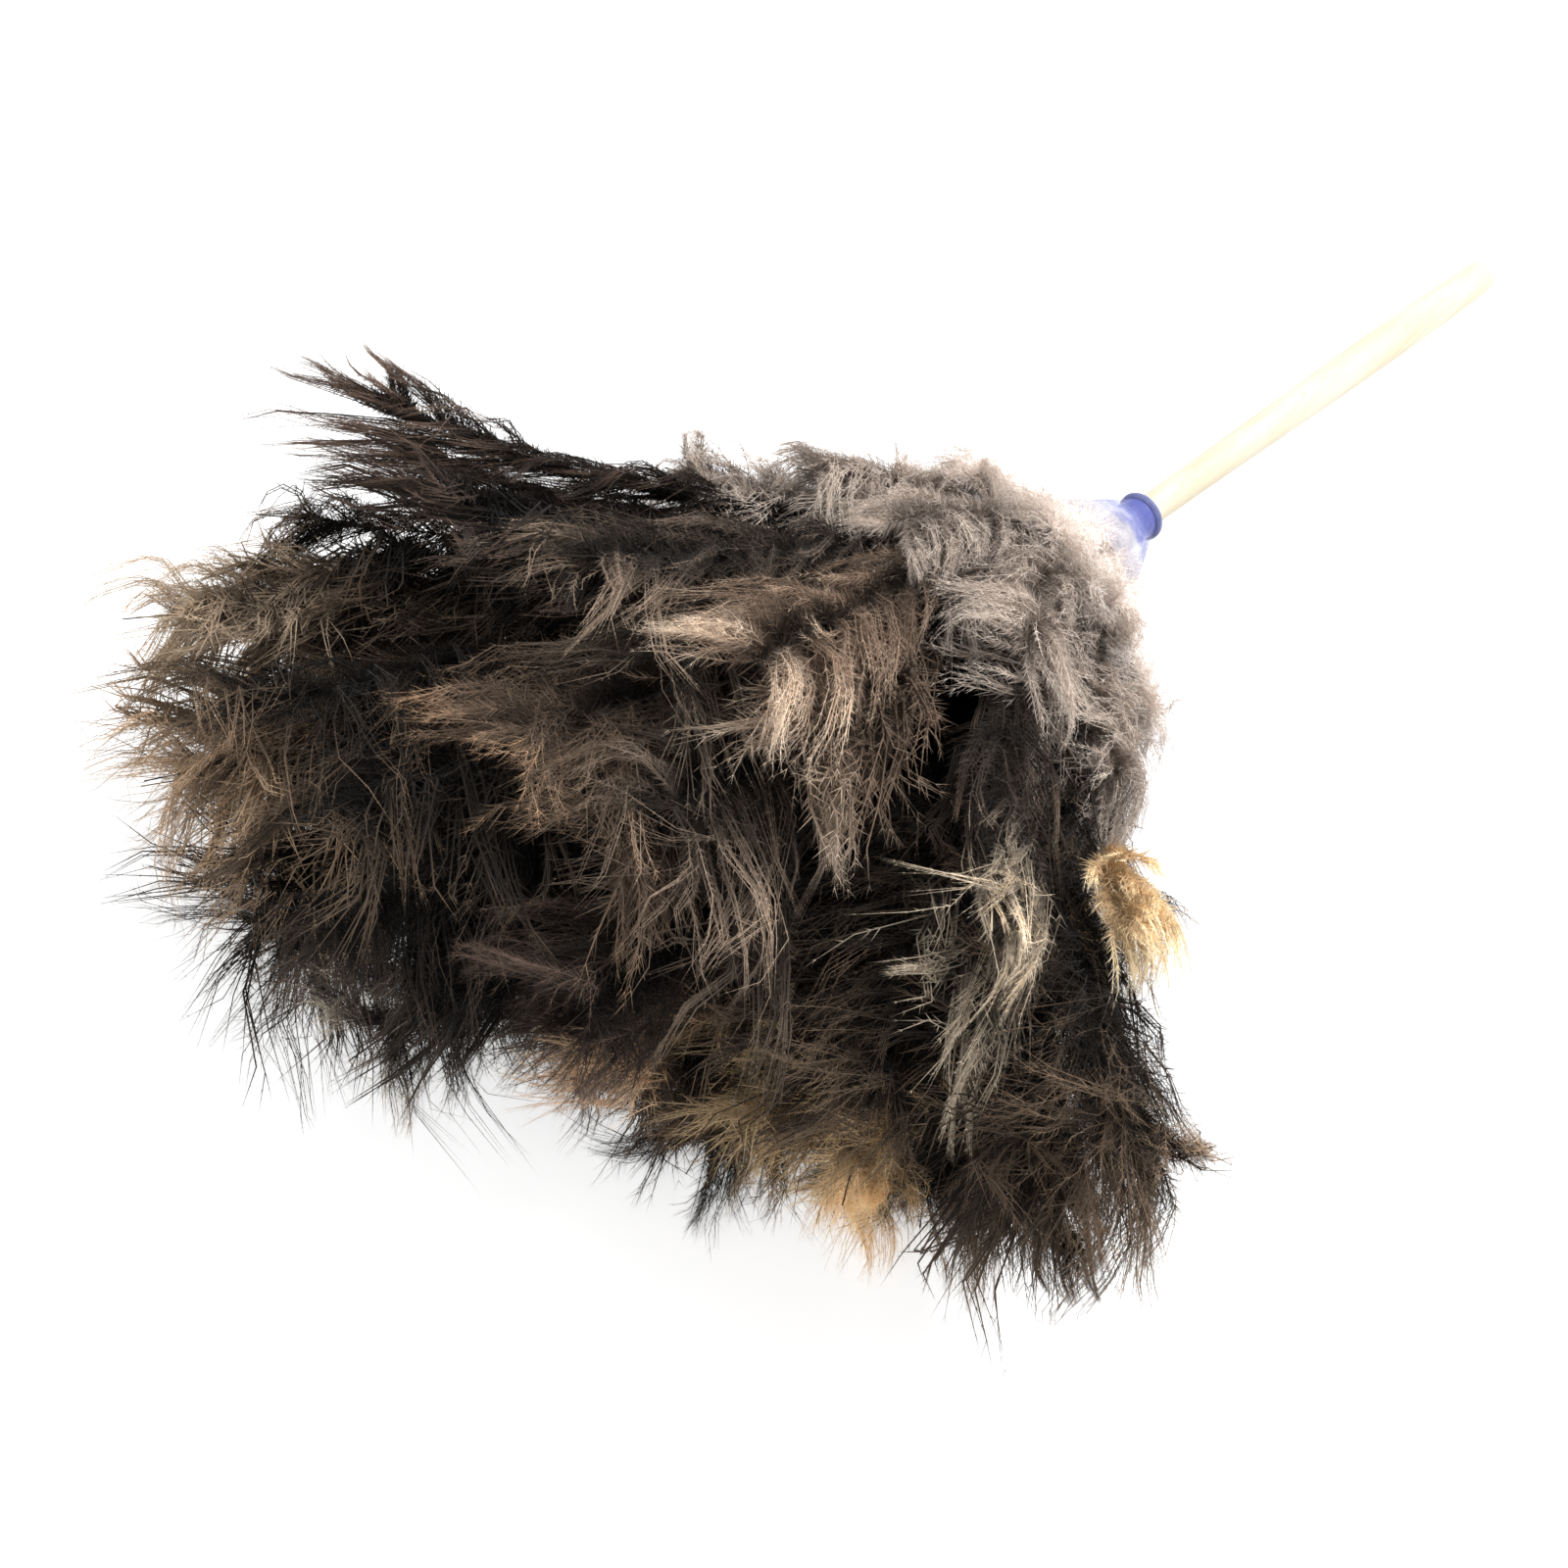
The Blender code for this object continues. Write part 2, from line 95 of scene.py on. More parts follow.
SETTLE_HEIGHT = 0.110
SETTLE_START = 0.030
SETTLE_SHARE = 0.45

# Colours on the screen
COLOURS = {
    "wood": (250, 243, 222),
    "wood_band": (243, 231, 202),
    "wood_pore": (226, 206, 168),
    "cap": (76, 88, 180),
    "cap_light": (112, 122, 204),
    "rim": (104, 112, 168),
    "rim_light": (128, 135, 186),
    "film": (220, 217, 238),
    "film_light": (240, 238, 248),
    "film_over_cap": (134, 142, 214),
    "twine": (150, 128, 96),
    "twine_light": (206, 186, 150),
    # painted shade: the shaft's colour where it runs deep among the barbs
    "shaft_in_shade": (34, 28, 23),
}
# Noises by scale and detail
NOISES = {
    "patches": (45.0, 2.0),
    "flecks": (900.0, 2.0),
    "grain": (420.0, 5.0),
    "bands": (120.0, 2.0),
    "mottle": (160.0, 3.0),
    "crease": (140.0, 3.0),
    "fibre": (2200.0, 3.0),
}
NOISE_SPAN = (0.3, 0.7)  # between which most values of a noise lie
BLEND_SPAN = (0.35, 0.65)  # of a noise that blends two colours
ROUGHNESSES = {
    "feather": (0.5, 0.72),
    "wood": (0.42, 0.6),
    "cap": (0.28, 0.42),
    "film": (0.2, 0.38),
    "twine": (0.75, 0.95),
}
FEATHER_SHINE = {"Specular IOR Level": 0.1, "Sheen Weight": 0.05, "Sheen Roughness": 0.5}

# How the colours of a feather follow its barbs, and its plume from the quill to the tip
PATCH_SHIFT = 0.2
MIDDLE_BY = 0.6  # along a barb
END_SHIFT, END_FROM = 0.15, 0.6
TIP_BY_BARB, TIP_SHIFT, TIP_SPAN = 0.22, 0.06, 0.26  # the tip's colour reaches further down on barbs' ends
TONE_FULL = 0.9
TONE_DARKER, TONE_LIGHTER = 0.55, 0.6
# Painted shade and light: darker deep in the head and lighter at its surface, by how open each place lies
SHADE_DARKER, OPEN_LIGHT = 0.9, 1.25  # deep in the head, and at its surface
# Painted shade and light along the plume: its inner part scaled by the feather's inner share, which paints
# shade below 1 and light above 1, and its outer part painted lighter
INNER_TO, OUTER_FROM, OUTER_LIGHT = 0.4, 0.85, 1.12  # along the plume
FLECK_LIGHTS = (0.8, 1.2)
# Up to here the shaft is painted dark, as shade among the barbs
SHAFT_SHOWS = (0.82, 0.9)  # where along the plume its shaft takes its colour

# Wood and film
GRAIN_STRETCH = (0.06, 1.0, 1.0)  # along the handle and across it
PORE_SPAN, PORE_SHARE = (0.55, 0.75), 0.5
GRAIN_BUMP, GRAIN_DEPTH = 0.15, 0.0003
FILM_ALPHAS = (0.14, 0.56)  # over the cap, and past it
FILM_CLEARER = 0.35
CREASE_SPAN, CREASE_ALPHA = (0.5, 0.72), 0.16

# How far the cap's colours run into each other and into the film
RIM_BLEND = 0.0006
STAIN_START, STAIN_END = 0.004, 0.013
STAIN_UNEVEN = 0.004
MILKY_START, MILKY_END, CLEAR_START = 0.003, 0.004, 0.006  # before and past the cap's end, in the film

# Rows of plumes. Their first lines repeat the part's source. Then come the barbs on each side of a shaft, how
# far along the shaft they start, their length and thickness, how far they stand off the shaft, outwards and
# sideways, and the pairs of barbules on each and their length.
LONG_BARBS = {"barbs": 270, "barb_radius": 0.00024, "barbule_pairs": 27, "barbule_length": 0.0034}
ROWS = (
    {
        "name": "short_plume", "count": 10, "quill_radius": 0.0010, "length": 0.104,
        "lean": math.radians(46.5), "curl": math.radians(7), "turn_share": 0.5,
        "reach_shares": (1.0, 0.94, 1.05, 0.93, 0.92, 0.98, 0.82, 0.92, 0.96, 1.02),
        "curl_shares": (1.0, 1.4, 0.8, 1.2, 1.0, 0.7, 1.3, 1.0, 0.9, 1.2),
        "barbs": 270, "bare": 0.009, "barb_length": 0.027, "barb_radius": 0.00015, "thick": 0.0085,
        "side_reach": 0.012, "barbule_pairs": 24, "barbule_length": 0.0030,
    },
    {
        "name": "middle_plume", "count": 12, "quill_radius": 0.0011, "length": 0.180,
        "lean": math.radians(39.5), "curl": math.radians(6), "turn_share": 0.0,
        "reach_shares": (0.95, 1.0, 0.93, 1.06, 0.92, 0.84, 0.88, 0.97, 0.94, 1.0, 1.02, 0.96),
        "curl_shares": (0.8, 1.2, 1.0, 0.6, 1.3, 1.0, 0.8, 1.1, 1.1, 0.9, 1.2, 1.0),
        "barbs": 245, "bare": 0.020, "barb_length": 0.036, "barb_radius": 0.00019, "thick": 0.010,
        "side_reach": 0.016, "barbule_pairs": 27, "barbule_length": 0.0033,
    },
    {
        "name": "long_plume", "count": 14, "quill_radius": 0.0012, "length": 0.285,
        "lean": math.radians(33), "curl": math.radians(10), "turn_share": 0.5,
        "reach_shares": (0.97, 1.24, 1.21, 1.15, 0.88, 1.06, 0.94, 0.92, 0.94, 0.99, 0.86, 0.88, 0.87, 0.98),
        "curl_shares": (1.0, 0.9, 0.5, 0.7, 2.8, 3.2, 0.7, 0.6, 0.9, 1.0, 1.9, 1.7, 1.2, 1.0),
        **LONG_BARBS, "bare": 0.040, "barb_length": 0.048, "thick": 0.015, "side_reach": 0.019,
    },
    {
        "name": "inner_plume", "count": 9, "quill_radius": 0.0012, "length": 0.272,
        "lean": math.radians(19), "curl": math.radians(7), "turn_share": 0.25,
        "reach_shares": (0.95, 1.17, 1.18, 1.21, 1.0, 0.95, 0.92, 0.92, 0.9),
        "curl_shares": (1.0, 0.6, 1.2, 0.8, 1.1, 1.0, 0.9, 0.7, 1.2),
        **LONG_BARBS, "bare": 0.050, "barb_length": 0.048, "thick": 0.016, "side_reach": 0.019,
    },
    {
        "name": "core_plume", "count": 4, "quill_radius": 0.0014, "length": 0.268,
        "lean": math.radians(6.5), "curl": math.radians(5), "turn_share": 0.5,
        "reach_shares": (1.1, 1.14, 1.0, 0.93),
        "curl_shares": (1.0, 0.6, 1.2, 0.8),
        **LONG_BARBS, "bare": 0.060, "barb_length": 0.046, "thick": 0.015, "side_reach": 0.018,
    },
)

# Under each plume lies a coarse second one, in the gap beside it and nearer the axis
UNDER_LENGTH_SHARE = 0.94
UNDER_SHIFT = 1.0  # half sectors
UNDER_SLOPE = 0.09
UNDER_SPREAD_SHARE = 1.3
UNDER_THICKNESS_SHARE = 2.4
UNDER_BARBULE_SHARE = 1.7
UNDER_WIDTH_SHARE = 2.2
UNDER_PAIRS = 14
UNDER_POINTS = 5

# Barbs. A share of 0 is at the plume's first barb and 1 at its last, or at a barb's root and at its end.
BARB_POINTS = 6
BARB_SIDES = 3
BARB_TIP_SHARE = 0.25  # thickness left near the end
BARB_THICKNESSES = (0.7, 1.35)
CROSSED_SHARE = 0.14  # barbs that lie over the shaft to its other side
BARB_CROWDING = 0.66  # power below 1: barbs stand closer towards the plume's tip
LAST_BARB_SHARE = 0.93  # where along the shaft the last barb stands
NEAR_TIP_FROM, NEAR_TIP_SPAN = 0.72, 0.28
NEAR_ROOT_SPAN = 0.25
BARB_LENGTHS = (0.84, 1.14)
TIP_SHORTER, ROOT_SHORTER = 0.15, 0.45  # what barbs lose of their length there
TIP_LEAVE_LESS, TIP_AIM_LESS = 0.55, 0.3  # what they lose of their angles to the shaft
TIP_NARROWER = 0.35  # and how much nearer the shaft they stay
AHEAD = (0.94, 1.08)  # how evenly barbs end at the plume's tip
BEND = (0.18, 0.4)  # of a barb's length, over which it bends from leave to aim
WAVES = (0.6, 1.6)  # along a barb
OFF_WAVE_SHARE, OFF_WAVE_TURN = 0.8, 5.0
RISE_FADE = 2.0
CURL_POWER = 3  # so that barbs curl at their ends
STAND_OFF = (-0.4, 1.0)  # of the plume's thickness
STAND_OFF_RATE = 3.0
ARCH_SHARE, ARCH_LIMIT = 0.8, 1.5  # how far the vane's sides bend inwards
FLATTENING = 0.8
PULL_FROM, PULL_SPAN = 0.25, 0.6  # where along a barb its lock gathers it
PULL_EVEN, PULL_OWN = 0.75, 0.25  # what all locks share of that, and what differs
STRAY_PULL_SHARE = 0.15
DROP_POWER, DROPS = 1.8, (0.4, 1.4)  # how barbs hang under their own weight
SWAY_TURNS = 1.3
SWAY_PHASES = (2.4, 7)  # for each plume of a row, and for the row's lean
TONE_SHARES = (0.2, 0.55, 0.25)  # the plume's, the lock's and the barb's own
LIFT_SPAN = 0.1  # over which a plume that lies off its row rises
FARTHEST_SHARE = 1.1
TABLE_CLEARANCE = 0.0004
ASKEW = (0.31, 0.22, 0.93)  # a direction that no barb takes
FILM_CLEARANCE = 0.0006  # under the film
TOUSLE_WAVES = 6  # that move loose ends about
TOUSLE_WAVELENGTHS = (0.030, 0.085)
TOUSLE_POWER = 1.3
SEED = 20

# Barbules. Their sweep, length and width lessen from a barb's root to its end.
BARBULE_HALF_WIDTH = 0.00026  # of a barbule's base, along the barb
BARBULE_SWEEP = (22, 60)  # degrees between barbule and barb
BARBULE_LENGTHS = (0.55, 1.3)
BARBULE_CROWDING, BARBULE_SPAN, BARBULE_START = 1.15, 0.95, 0.02
SWEEP_AT_ROOT, SWEEP_LOSS = 1.1, 0.6
LENGTH_AT_ROOT = 1.5
WIDTH_LOSS = 0.75
UNEVEN_TURN = 0.7
BARBULE_TONES = (-0.1, 0.25)  # against their barb's tone

# How open each place in the head lies: rays run from it past cells that hold other barbs. From this the
# feathers get painted shade where the head is closed and painted light where it is open
CELL = 0.005
RAYS = 26
RAY_STEPS = 11
RAY_LOSS = 0.055  # for each barb point in a cell that a ray passes
RAY_UPWARD_SHARE = 0.7
RAY_START = 1.5  # cells, so that a barb's own cell doesn't count
CELL_MARGIN = 3
CELL_KEPT, CELL_SPREAD = 0.5, 0.25  # what a cell keeps, and what goes to the next on either side
OPEN_LOW, OPEN_HIGH = 0.08, 0.50  # between which feathers go from dark to their full colour

# Camera. The roll is that of the photograph, in which the duster isn't level.
CAMERA_FROM_CAP = Vector((-0.39114, -0.28405, 0.53888))
CAMERA_TURN = math.radians(54.506)
CAMERA_DIP = math.radians(55.463)
CAMERA_ROLL = math.radians(-11.73)
CAMERA_LENS = 42.72  # mm, on a sensor 36 mm wide


def srgb(red, green, blue):
    """A colour written as 0 to 255 for the screen, as the linear colour that Blender wants."""

    def linear(value):
        share = value / 255
        return share / 12.92 if share <= 0.04045 else ((share + 0.055) / 1.055) ** 2.4

    return linear(red), linear(green), linear(blue), 1.0


# Feather colours on the screen: at the root of a barb, along it, at its end, at the plume's tip, and of the
# shaft
FEATHERS = {
    # Down's pale colours are partly its own and partly painted light, for the strong light near the collar
    "down": ((238, 228, 221), (247, 239, 233), (250, 244, 239), (182, 166, 152), (150, 136, 120)),
    "ash": ((130, 119, 110), (188, 174, 163), (222, 210, 200), (218, 205, 192), (70, 60, 50)),
    "grey": ((28, 25, 22), (84, 73, 64), (150, 132, 117), (160, 141, 123), (50, 41, 34)),
    "dark": ((10, 9, 8), (28, 24, 21), (70, 59, 51), (84, 71, 60), (30, 24, 20)),
    "brown": ((12, 10, 9), (44, 37, 31), (104, 87, 72), (126, 106, 87), (36, 29, 24)),
    "tan": ((13, 11, 10), (40, 34, 29), (92, 78, 65), (206, 176, 144), (42, 34, 28)),
    "fawn": ((18, 15, 13), (66, 56, 47), (136, 116, 97), (180, 156, 132), (42, 34, 28)),
    "gold": ((20, 16, 12), (66, 54, 42), (148, 124, 97), (228, 200, 158), (42, 34, 28)),
    "russet": ((14, 11, 10), (46, 38, 33), (96, 79, 69), (116, 97, 85), (42, 33, 28)),
    "orange": ((32, 27, 23), (116, 98, 83), (178, 154, 131), (212, 166, 124), (50, 40, 32)),
    "cream": ((12, 10, 9), (38, 32, 28), (88, 75, 64), (234, 219, 198), (42, 34, 28)),
    "straw": ((170, 142, 106), (226, 202, 162), (244, 226, 190), (248, 234, 204), (190, 166, 124)),
    "beige": ((48, 40, 33), (140, 119, 102), (190, 167, 145), (228, 208, 186), (66, 54, 44)),
    "sand": ((52, 44, 37), (122, 106, 92), (164, 144, 124), (206, 184, 158), (60, 50, 42)),
    "quilled": ((24, 21, 19), (66, 57, 50), (128, 108, 92), (246, 228, 202), (232, 214, 182)),
}
# How strongly a feather's light and dark places differ, in its tone and its painted shade, where its tip's
# colour starts,
# and how light its inner part is painted: darker as shade below 1, lighter as light above 1
FEATHER_SOFTNESS = {
    "down": {"contrast": 0.25, "tip_from": 0.95, "inner": 1.3},
    "ash": {"contrast": 0.38, "inner": 1.15},
    "grey": {"inner": 0.9},
    "fawn": {"inner": 0.85},
    "beige": {"inner": 0.95},
    "sand": {"contrast": 0.55, "inner": 1.1, "tip_from": 0.88},
    "tan": {"tip_from": 0.9},
    "gold": {"tip_from": 0.86, "inner": 0.8},
    "straw": {"contrast": 0.5, "inner": 0.8},
    "orange": {"tip_from": 1.12, "inner": 0.8},
    "cream": {"tip_from": 1.06},
    "quilled": {"tip_from": 0.96, "inner": 1.4},
}
ROW_FEATHERS = {
    "short_plume": "down",
    "middle_plume": "grey",
    "long_plume": "dark",
    "inner_plume": "brown",
    "core_plume": "dark",
}
# Feathers of plumes that differ from their row
FEATHER_PLUMES = {
    "ash": ("middle_plume_05", "middle_plume_06", "middle_plume_07", "middle_plume_08", "middle_plume_09"),
    "fawn": ("middle_plume_10", "middle_plume_11", "middle_plume_12", "long_plume_11", "long_plume_13"),
    "grey": ("long_plume_07", "inner_plume_06"),
    "dark": ("inner_plume_02", "lower_plume_01"),
    "brown": ("long_plume_10", "upper_plume_01", "dark_plume_01"),
    "tan": ("long_plume_03", "inner_plume_03", "core_plume_04"),
    "russet": ("long_plume_05", "long_plume_06", "core_plume_03"),
    "cream": ("long_plume_01", "inner_plume_01", "core_plume_01"),
    "gold": ("inner_plume_08", "gold_plume_01"),
    "sand": ("long_plume_04", "sand_plume_01"),
    "beige": ("long_plume_08",),
    "quilled": ("long_plume_09",),
    "orange": ("inner_plume_05",),
    "straw": ("straw_plume_01",),
    "down": ("down_plume_01",),
}
PLUME_FEATHERS = {plume: kind for kind, plumes in FEATHER_PLUMES.items() for plume in plumes}


# Materials


def new_material(name):
    made = bpy.data.materials.new(name)
    made.use_nodes = True
    tree = made.node_tree
    return made, tree, tree.nodes["Principled BSDF"]


def node(tree, kind, **values):
    """A new node with its settings."""
    made = tree.nodes.new(kind)
    for name, value in values.items():
        setattr(made, name, value)
    return made


def noise(tree, name, place):
    made = node(tree, "ShaderNodeTexNoise")
    made.inputs["Scale"].default_value, made.inputs["Detail"].default_value = NOISES[name]
    tree.links.new(place, made.inputs["Vector"])
    return made.outputs["Fac"]


def ranged(tree, value, low, high, to_low=0.0, to_high=1.0):
    """A value between low and high, spread to between to_low and to_high."""
    made = node(tree, "ShaderNodeMapRange", clamp=True)
    tree.links.new(value, made.inputs["Value"])
    for name, number in zip(("From Min", "From Max", "To Min", "To Max"), (low, high, to_low, to_high)):
        made.inputs[name].default_value = number
    return made.outputs["Result"]


def sum_of(tree, kind, first, second):
    """The outcome of one kind of sum on two sockets or numbers."""
    made = node(tree, "ShaderNodeMath", operation=kind)
    for socket, value in zip(made.inputs, (first, second)):
        if isinstance(value, float):
            socket.default_value = value
        else:
            tree.links.new(value, socket)
    return made.outputs["Value"]


def mixed(tree, factor, first, second, blend="MIX"):
    made = node(tree, "ShaderNodeMix", data_type="RGBA", blend_type=blend)
    colour_inputs = [socket for socket in made.inputs if socket.type == "RGBA"]
    if isinstance(factor, float):
        made.inputs[0].default_value = factor
    else:
        tree.links.new(factor, made.inputs[0])
    for socket, value in zip(colour_inputs, (first, second)):
        if isinstance(value, tuple):
            socket.default_value = value
        else:
            tree.links.new(value, socket)
    return next(socket for socket in made.outputs if socket.type == "RGBA")


def varied(tree, noise_value, low, high):
    """A noise, spread from low to high."""
    return ranged(tree, noise_value, *NOISE_SPAN, low, high)


def blended(tree, noise_value, first, second):
    """A noise's blend of two colours, by name."""
    return mixed(tree, ranged(tree, noise_value, *BLEND_SPAN), srgb(*COLOURS[first]), srgb(*COLOURS[second]))


def finish(tree, shader, colour, noise_value, kind):
    """Gives a material its colour, and a roughness that follows a noise."""
    tree.links.new(colour, shader.inputs["Base Color"])
    tree.links.new(varied(tree, noise_value, *ROUGHNESSES[kind]), shader.inputs["Roughness"])


def object_place(tree):
    return node(tree, "ShaderNodeTexCoord").outputs["Object"]


def attribute(tree, name, output="Fac"):
    return node(tree, "ShaderNodeAttribute", attribute_name=name).outputs[output]


def reach_past(tree, place, start):
    """How far along the axis, towards the feathers, a place lies past start."""
    level = node(tree, "ShaderNodeVectorMath", operation="DOT_PRODUCT")
    level.inputs[1].default_value = tuple(-AXIS)
    tree.links.new(place, level.inputs[0])
    return sum_of(tree, "SUBTRACT", level.outputs["Value"], float(-AXIS.dot(start)))


def seen_directly(tree):
    """1 for light paths that the eye follows, 0 for those that light the duster."""
    path = node(tree, "ShaderNodeLightPath")
    seen = sum_of(tree, "MAXIMUM", path.outputs["Is Camera Ray"], path.outputs["Is Glossy Ray"])
    return sum_of(tree, "MAXIMUM", seen, path.outputs["Is Transmission Ray"])


def feather_material(name, root, middle, end, tip, quill, contrast=1.0, tip_from=1.0, inner=0.6):
    """Dark at the root of each barb, lighter along it, its own colour at the plume's tip, mottled by lock.
    Painted shade darkens it where the head is closed, painted light brightens it where the head is open, and
    along the plume its inner part is painted darker as shade where inner is below 1 and lighter as light
    above 1.
    """
    made, tree, shader = new_material(name)
    parts = node(tree, "ShaderNodeSeparateXYZ")
    tree.links.new(attribute(tree, "strand", "Vector"), parts.inputs["Vector"])
    along_plume, along_barb, tone = parts.outputs
    place = object_place(tree)
    patches = noise(tree, "patches", place)
    flecks = noise(tree, "flecks", place)
    lift = sum_of(tree, "ADD", along_barb, varied(tree, patches, -PATCH_SHIFT, PATCH_SHIFT))
    colour = mixed(tree, ranged(tree, lift, 0.0, MIDDLE_BY), root, middle)
    late = sum_of(tree, "ADD", along_barb, ranged(tree, tone, 0.0, 1.0, -END_SHIFT, END_SHIFT))
    colour = mixed(tree, ranged(tree, late, END_FROM, 1.0), colour, end)
    reach = sum_of(tree, "MULTIPLY_ADD", along_barb, TIP_BY_BARB)
    tree.links.new(along_plume, reach.node.inputs[2])
    reach = sum_of(tree, "ADD", reach, ranged(tree, tone, 0.0, 1.0, -TIP_SHIFT, TIP_SHIFT))
    colour = mixed(tree, ranged(tree, reach, tip_from, tip_from + TIP_SPAN), colour, tip)
    darkest, lightest = 1.0 - TONE_DARKER * contrast, 1.0 + TONE_LIGHTER * contrast
    value = ranged(tree, tone, 0.0, TONE_FULL, darkest, lightest)
    # Painted shade where the head is closed, and painted light where it is open
    opening = attribute(tree, "opening")
    opening = ranged(tree, opening, OPEN_LOW, OPEN_HIGH, 1.0 - SHADE_DARKER * contrast, OPEN_LIGHT)
    value = sum_of(tree, "MULTIPLY", value, opening)
    # Along the plume, inner below 1 paints the root darker as shade, and above 1 paints it lighter as light
    outer = ranged(tree, along_plume, INNER_TO, OUTER_FROM, inner, OUTER_LIGHT)
    value = sum_of(tree, "MULTIPLY", value, outer)
    value = sum_of(tree, "MULTIPLY", value, varied(tree, flecks, *FLECK_LIGHTS))
    shade = node(tree, "ShaderNodeCombineColor")
    for socket in shade.inputs:
        tree.links.new(value, socket)
    colour = mixed(tree, 1.0, colour, shade.outputs["Color"], "MULTIPLY")
    # The shaft is painted dark, as shade among the barbs, up to where it shows near the plume's tip
    bare = mixed(tree, ranged(tree, along_plume, *SHAFT_SHOWS), srgb(*COLOURS["shaft_in_shade"]), quill)
    colour = mixed(tree, attribute(tree, "horn"), colour, bare)
    finish(tree, shader, colour, flecks, "feather")
    for label, amount in FEATHER_SHINE.items():
        shader.inputs[label].default_value = amount
    return made


def wood_material():
    """Pale turned birch: fine grain along the handle, a few darker pores."""
    made, tree, shader = new_material("pale_wood")
    turn = node(tree, "ShaderNodeMapping")
    turn.inputs["Rotation"].default_value = (0.0, -math.asin(-AXIS.z), 0.0)
    turn.inputs["Scale"].default_value = GRAIN_STRETCH
    tree.links.new(object_place(tree), turn.inputs["Vector"])
    grain = noise(tree, "grain", turn.outputs["Vector"])
    bands = noise(tree, "bands", turn.outputs["Vector"])
    colour = blended(tree, bands, "wood", "wood_band")
    pores = ranged(tree, grain, *PORE_SPAN, 0.0, PORE_SHARE)
    colour = mixed(tree, pores, colour, srgb(*COLOURS["wood_pore"]))
    finish(tree, shader, colour, grain, "wood")
    bump = node(tree, "ShaderNodeBump")
    bump.inputs["Strength"].default_value = GRAIN_BUMP
    bump.inputs["Distance"].default_value = GRAIN_DEPTH
    tree.links.new(grain, bump.inputs["Height"])
    tree.links.new(bump.outputs["Normal"], shader.inputs["Normal"])
    return made


def cap_material():
    """Moulded blue plastic, its rim darker and greyer than its body."""
    made, tree, shader = new_material("blue_plastic")
    place = object_place(tree)
    past_rim = reach_past(tree, place, ORIGIN - AXIS * RIM_LENGTH)
    mottle = noise(tree, "mottle", place)
    body = blended(tree, mottle, "cap", "cap_light")
    rim = blended(tree, mottle, "rim", "rim_light")
    colour = mixed(tree, ranged(tree, past_rim, 0.0, RIM_BLEND), rim, body)
    finish(tree, shader, colour, mottle, "cap")
    return made


def film_material():
    """Thin lavender film, milky where it is creased and at the cap, clearer towards the mouth."""
    made, tree, shader = new_material("skirt_film")
    place = object_place(tree)
    reach = reach_past(tree, place, ORIGIN)
    crease = noise(tree, "crease", place)
    colour = blended(tree, crease, "film", "film_light")
    stained = sum_of(tree, "ADD", reach, varied(tree, crease, -STAIN_UNEVEN, STAIN_UNEVEN))
    stained = ranged(tree, stained, CAP_LENGTH + STAIN_START, CAP_LENGTH + STAIN_END)
    colour = mixed(tree, stained, srgb(*COLOURS["film_over_cap"]), colour)
    over_cap = ranged(tree, reach, CAP_LENGTH - MILKY_START, CAP_LENGTH + MILKY_END, *FILM_ALPHAS)
    clearer = ranged(tree, reach, CAP_LENGTH + CLEAR_START, SKIRT_REACH, 1.0, FILM_CLEARER)
    milky = sum_of(tree, "MULTIPLY", over_cap, clearer)
    milky = sum_of(tree, "ADD", milky, ranged(tree, crease, *CREASE_SPAN, 0.0, CREASE_ALPHA))
    tree.links.new(milky, shader.inputs["Alpha"])
    finish(tree, shader, colour, crease, "film")
    return made


def twine_material():
    made, tree, shader = new_material("twine")
    fibre = noise(tree, "fibre", object_place(tree))
    colour = blended(tree, fibre, "twine", "twine_light")
    finish(tree, shader, colour, fibre, "twine")
    return made


# Where the plumes lie


def smooth(value):
    """0 below 0, 1 above 1, and an even S between."""
    share = np.clip(value, 0.0, 1.0)
    return share * share * (3.0 - 2.0 * share)


def row_layout():
    rows = [dict(row) for row in ROWS]
    binding_length = TWINE_TURNS * TWINE_THICKNESS
    for row in rows:
        row["ring_radius"] = CORE_RADIUS + GAP + row["quill_radius"]
        row["binding_inner"] = row["ring_radius"] + row["quill_radius"] + GAP
        row["binding_outer"] = row["binding_inner"] + TWINE_THICKNESS
        row["barbule_half_width"] = BARBULE_HALF_WIDTH
        row["points"] = BARB_POINTS
    first = rows[0]
    first["butt_reach"] = CAP_LENGTH + GAP
    bound_to = first["butt_reach"] + BINDING_MARGIN + binding_length
    climb = SKIRT_MOUTH_RADIUS - FILM_THICKNESS - SKIRT_MARGIN - first["ring_radius"]
    lift = math.atan2(climb, SKIRT_REACH - bound_to - LIFT_LENGTH / 2)
    for before, row in zip(rows, rows[1:]):
        clear_radius = row["binding_outer"] + GAP + before["quill_radius"] / math.cos(lift)
        run = (clear_radius - before["ring_radius"]) / math.tan(lift) + LIFT_LENGTH / 2
        row["butt_reach"] = before["butt_reach"] + binding_length + run
    for row in rows:
        row["lift"] = lift
        row["binding_start"] = row["butt_reach"] + BINDING_MARGIN
        row["binding_end"] = row["binding_start"] + binding_length
    rows[-1]["lift"] = rows[-1]["lean"]
    return rows


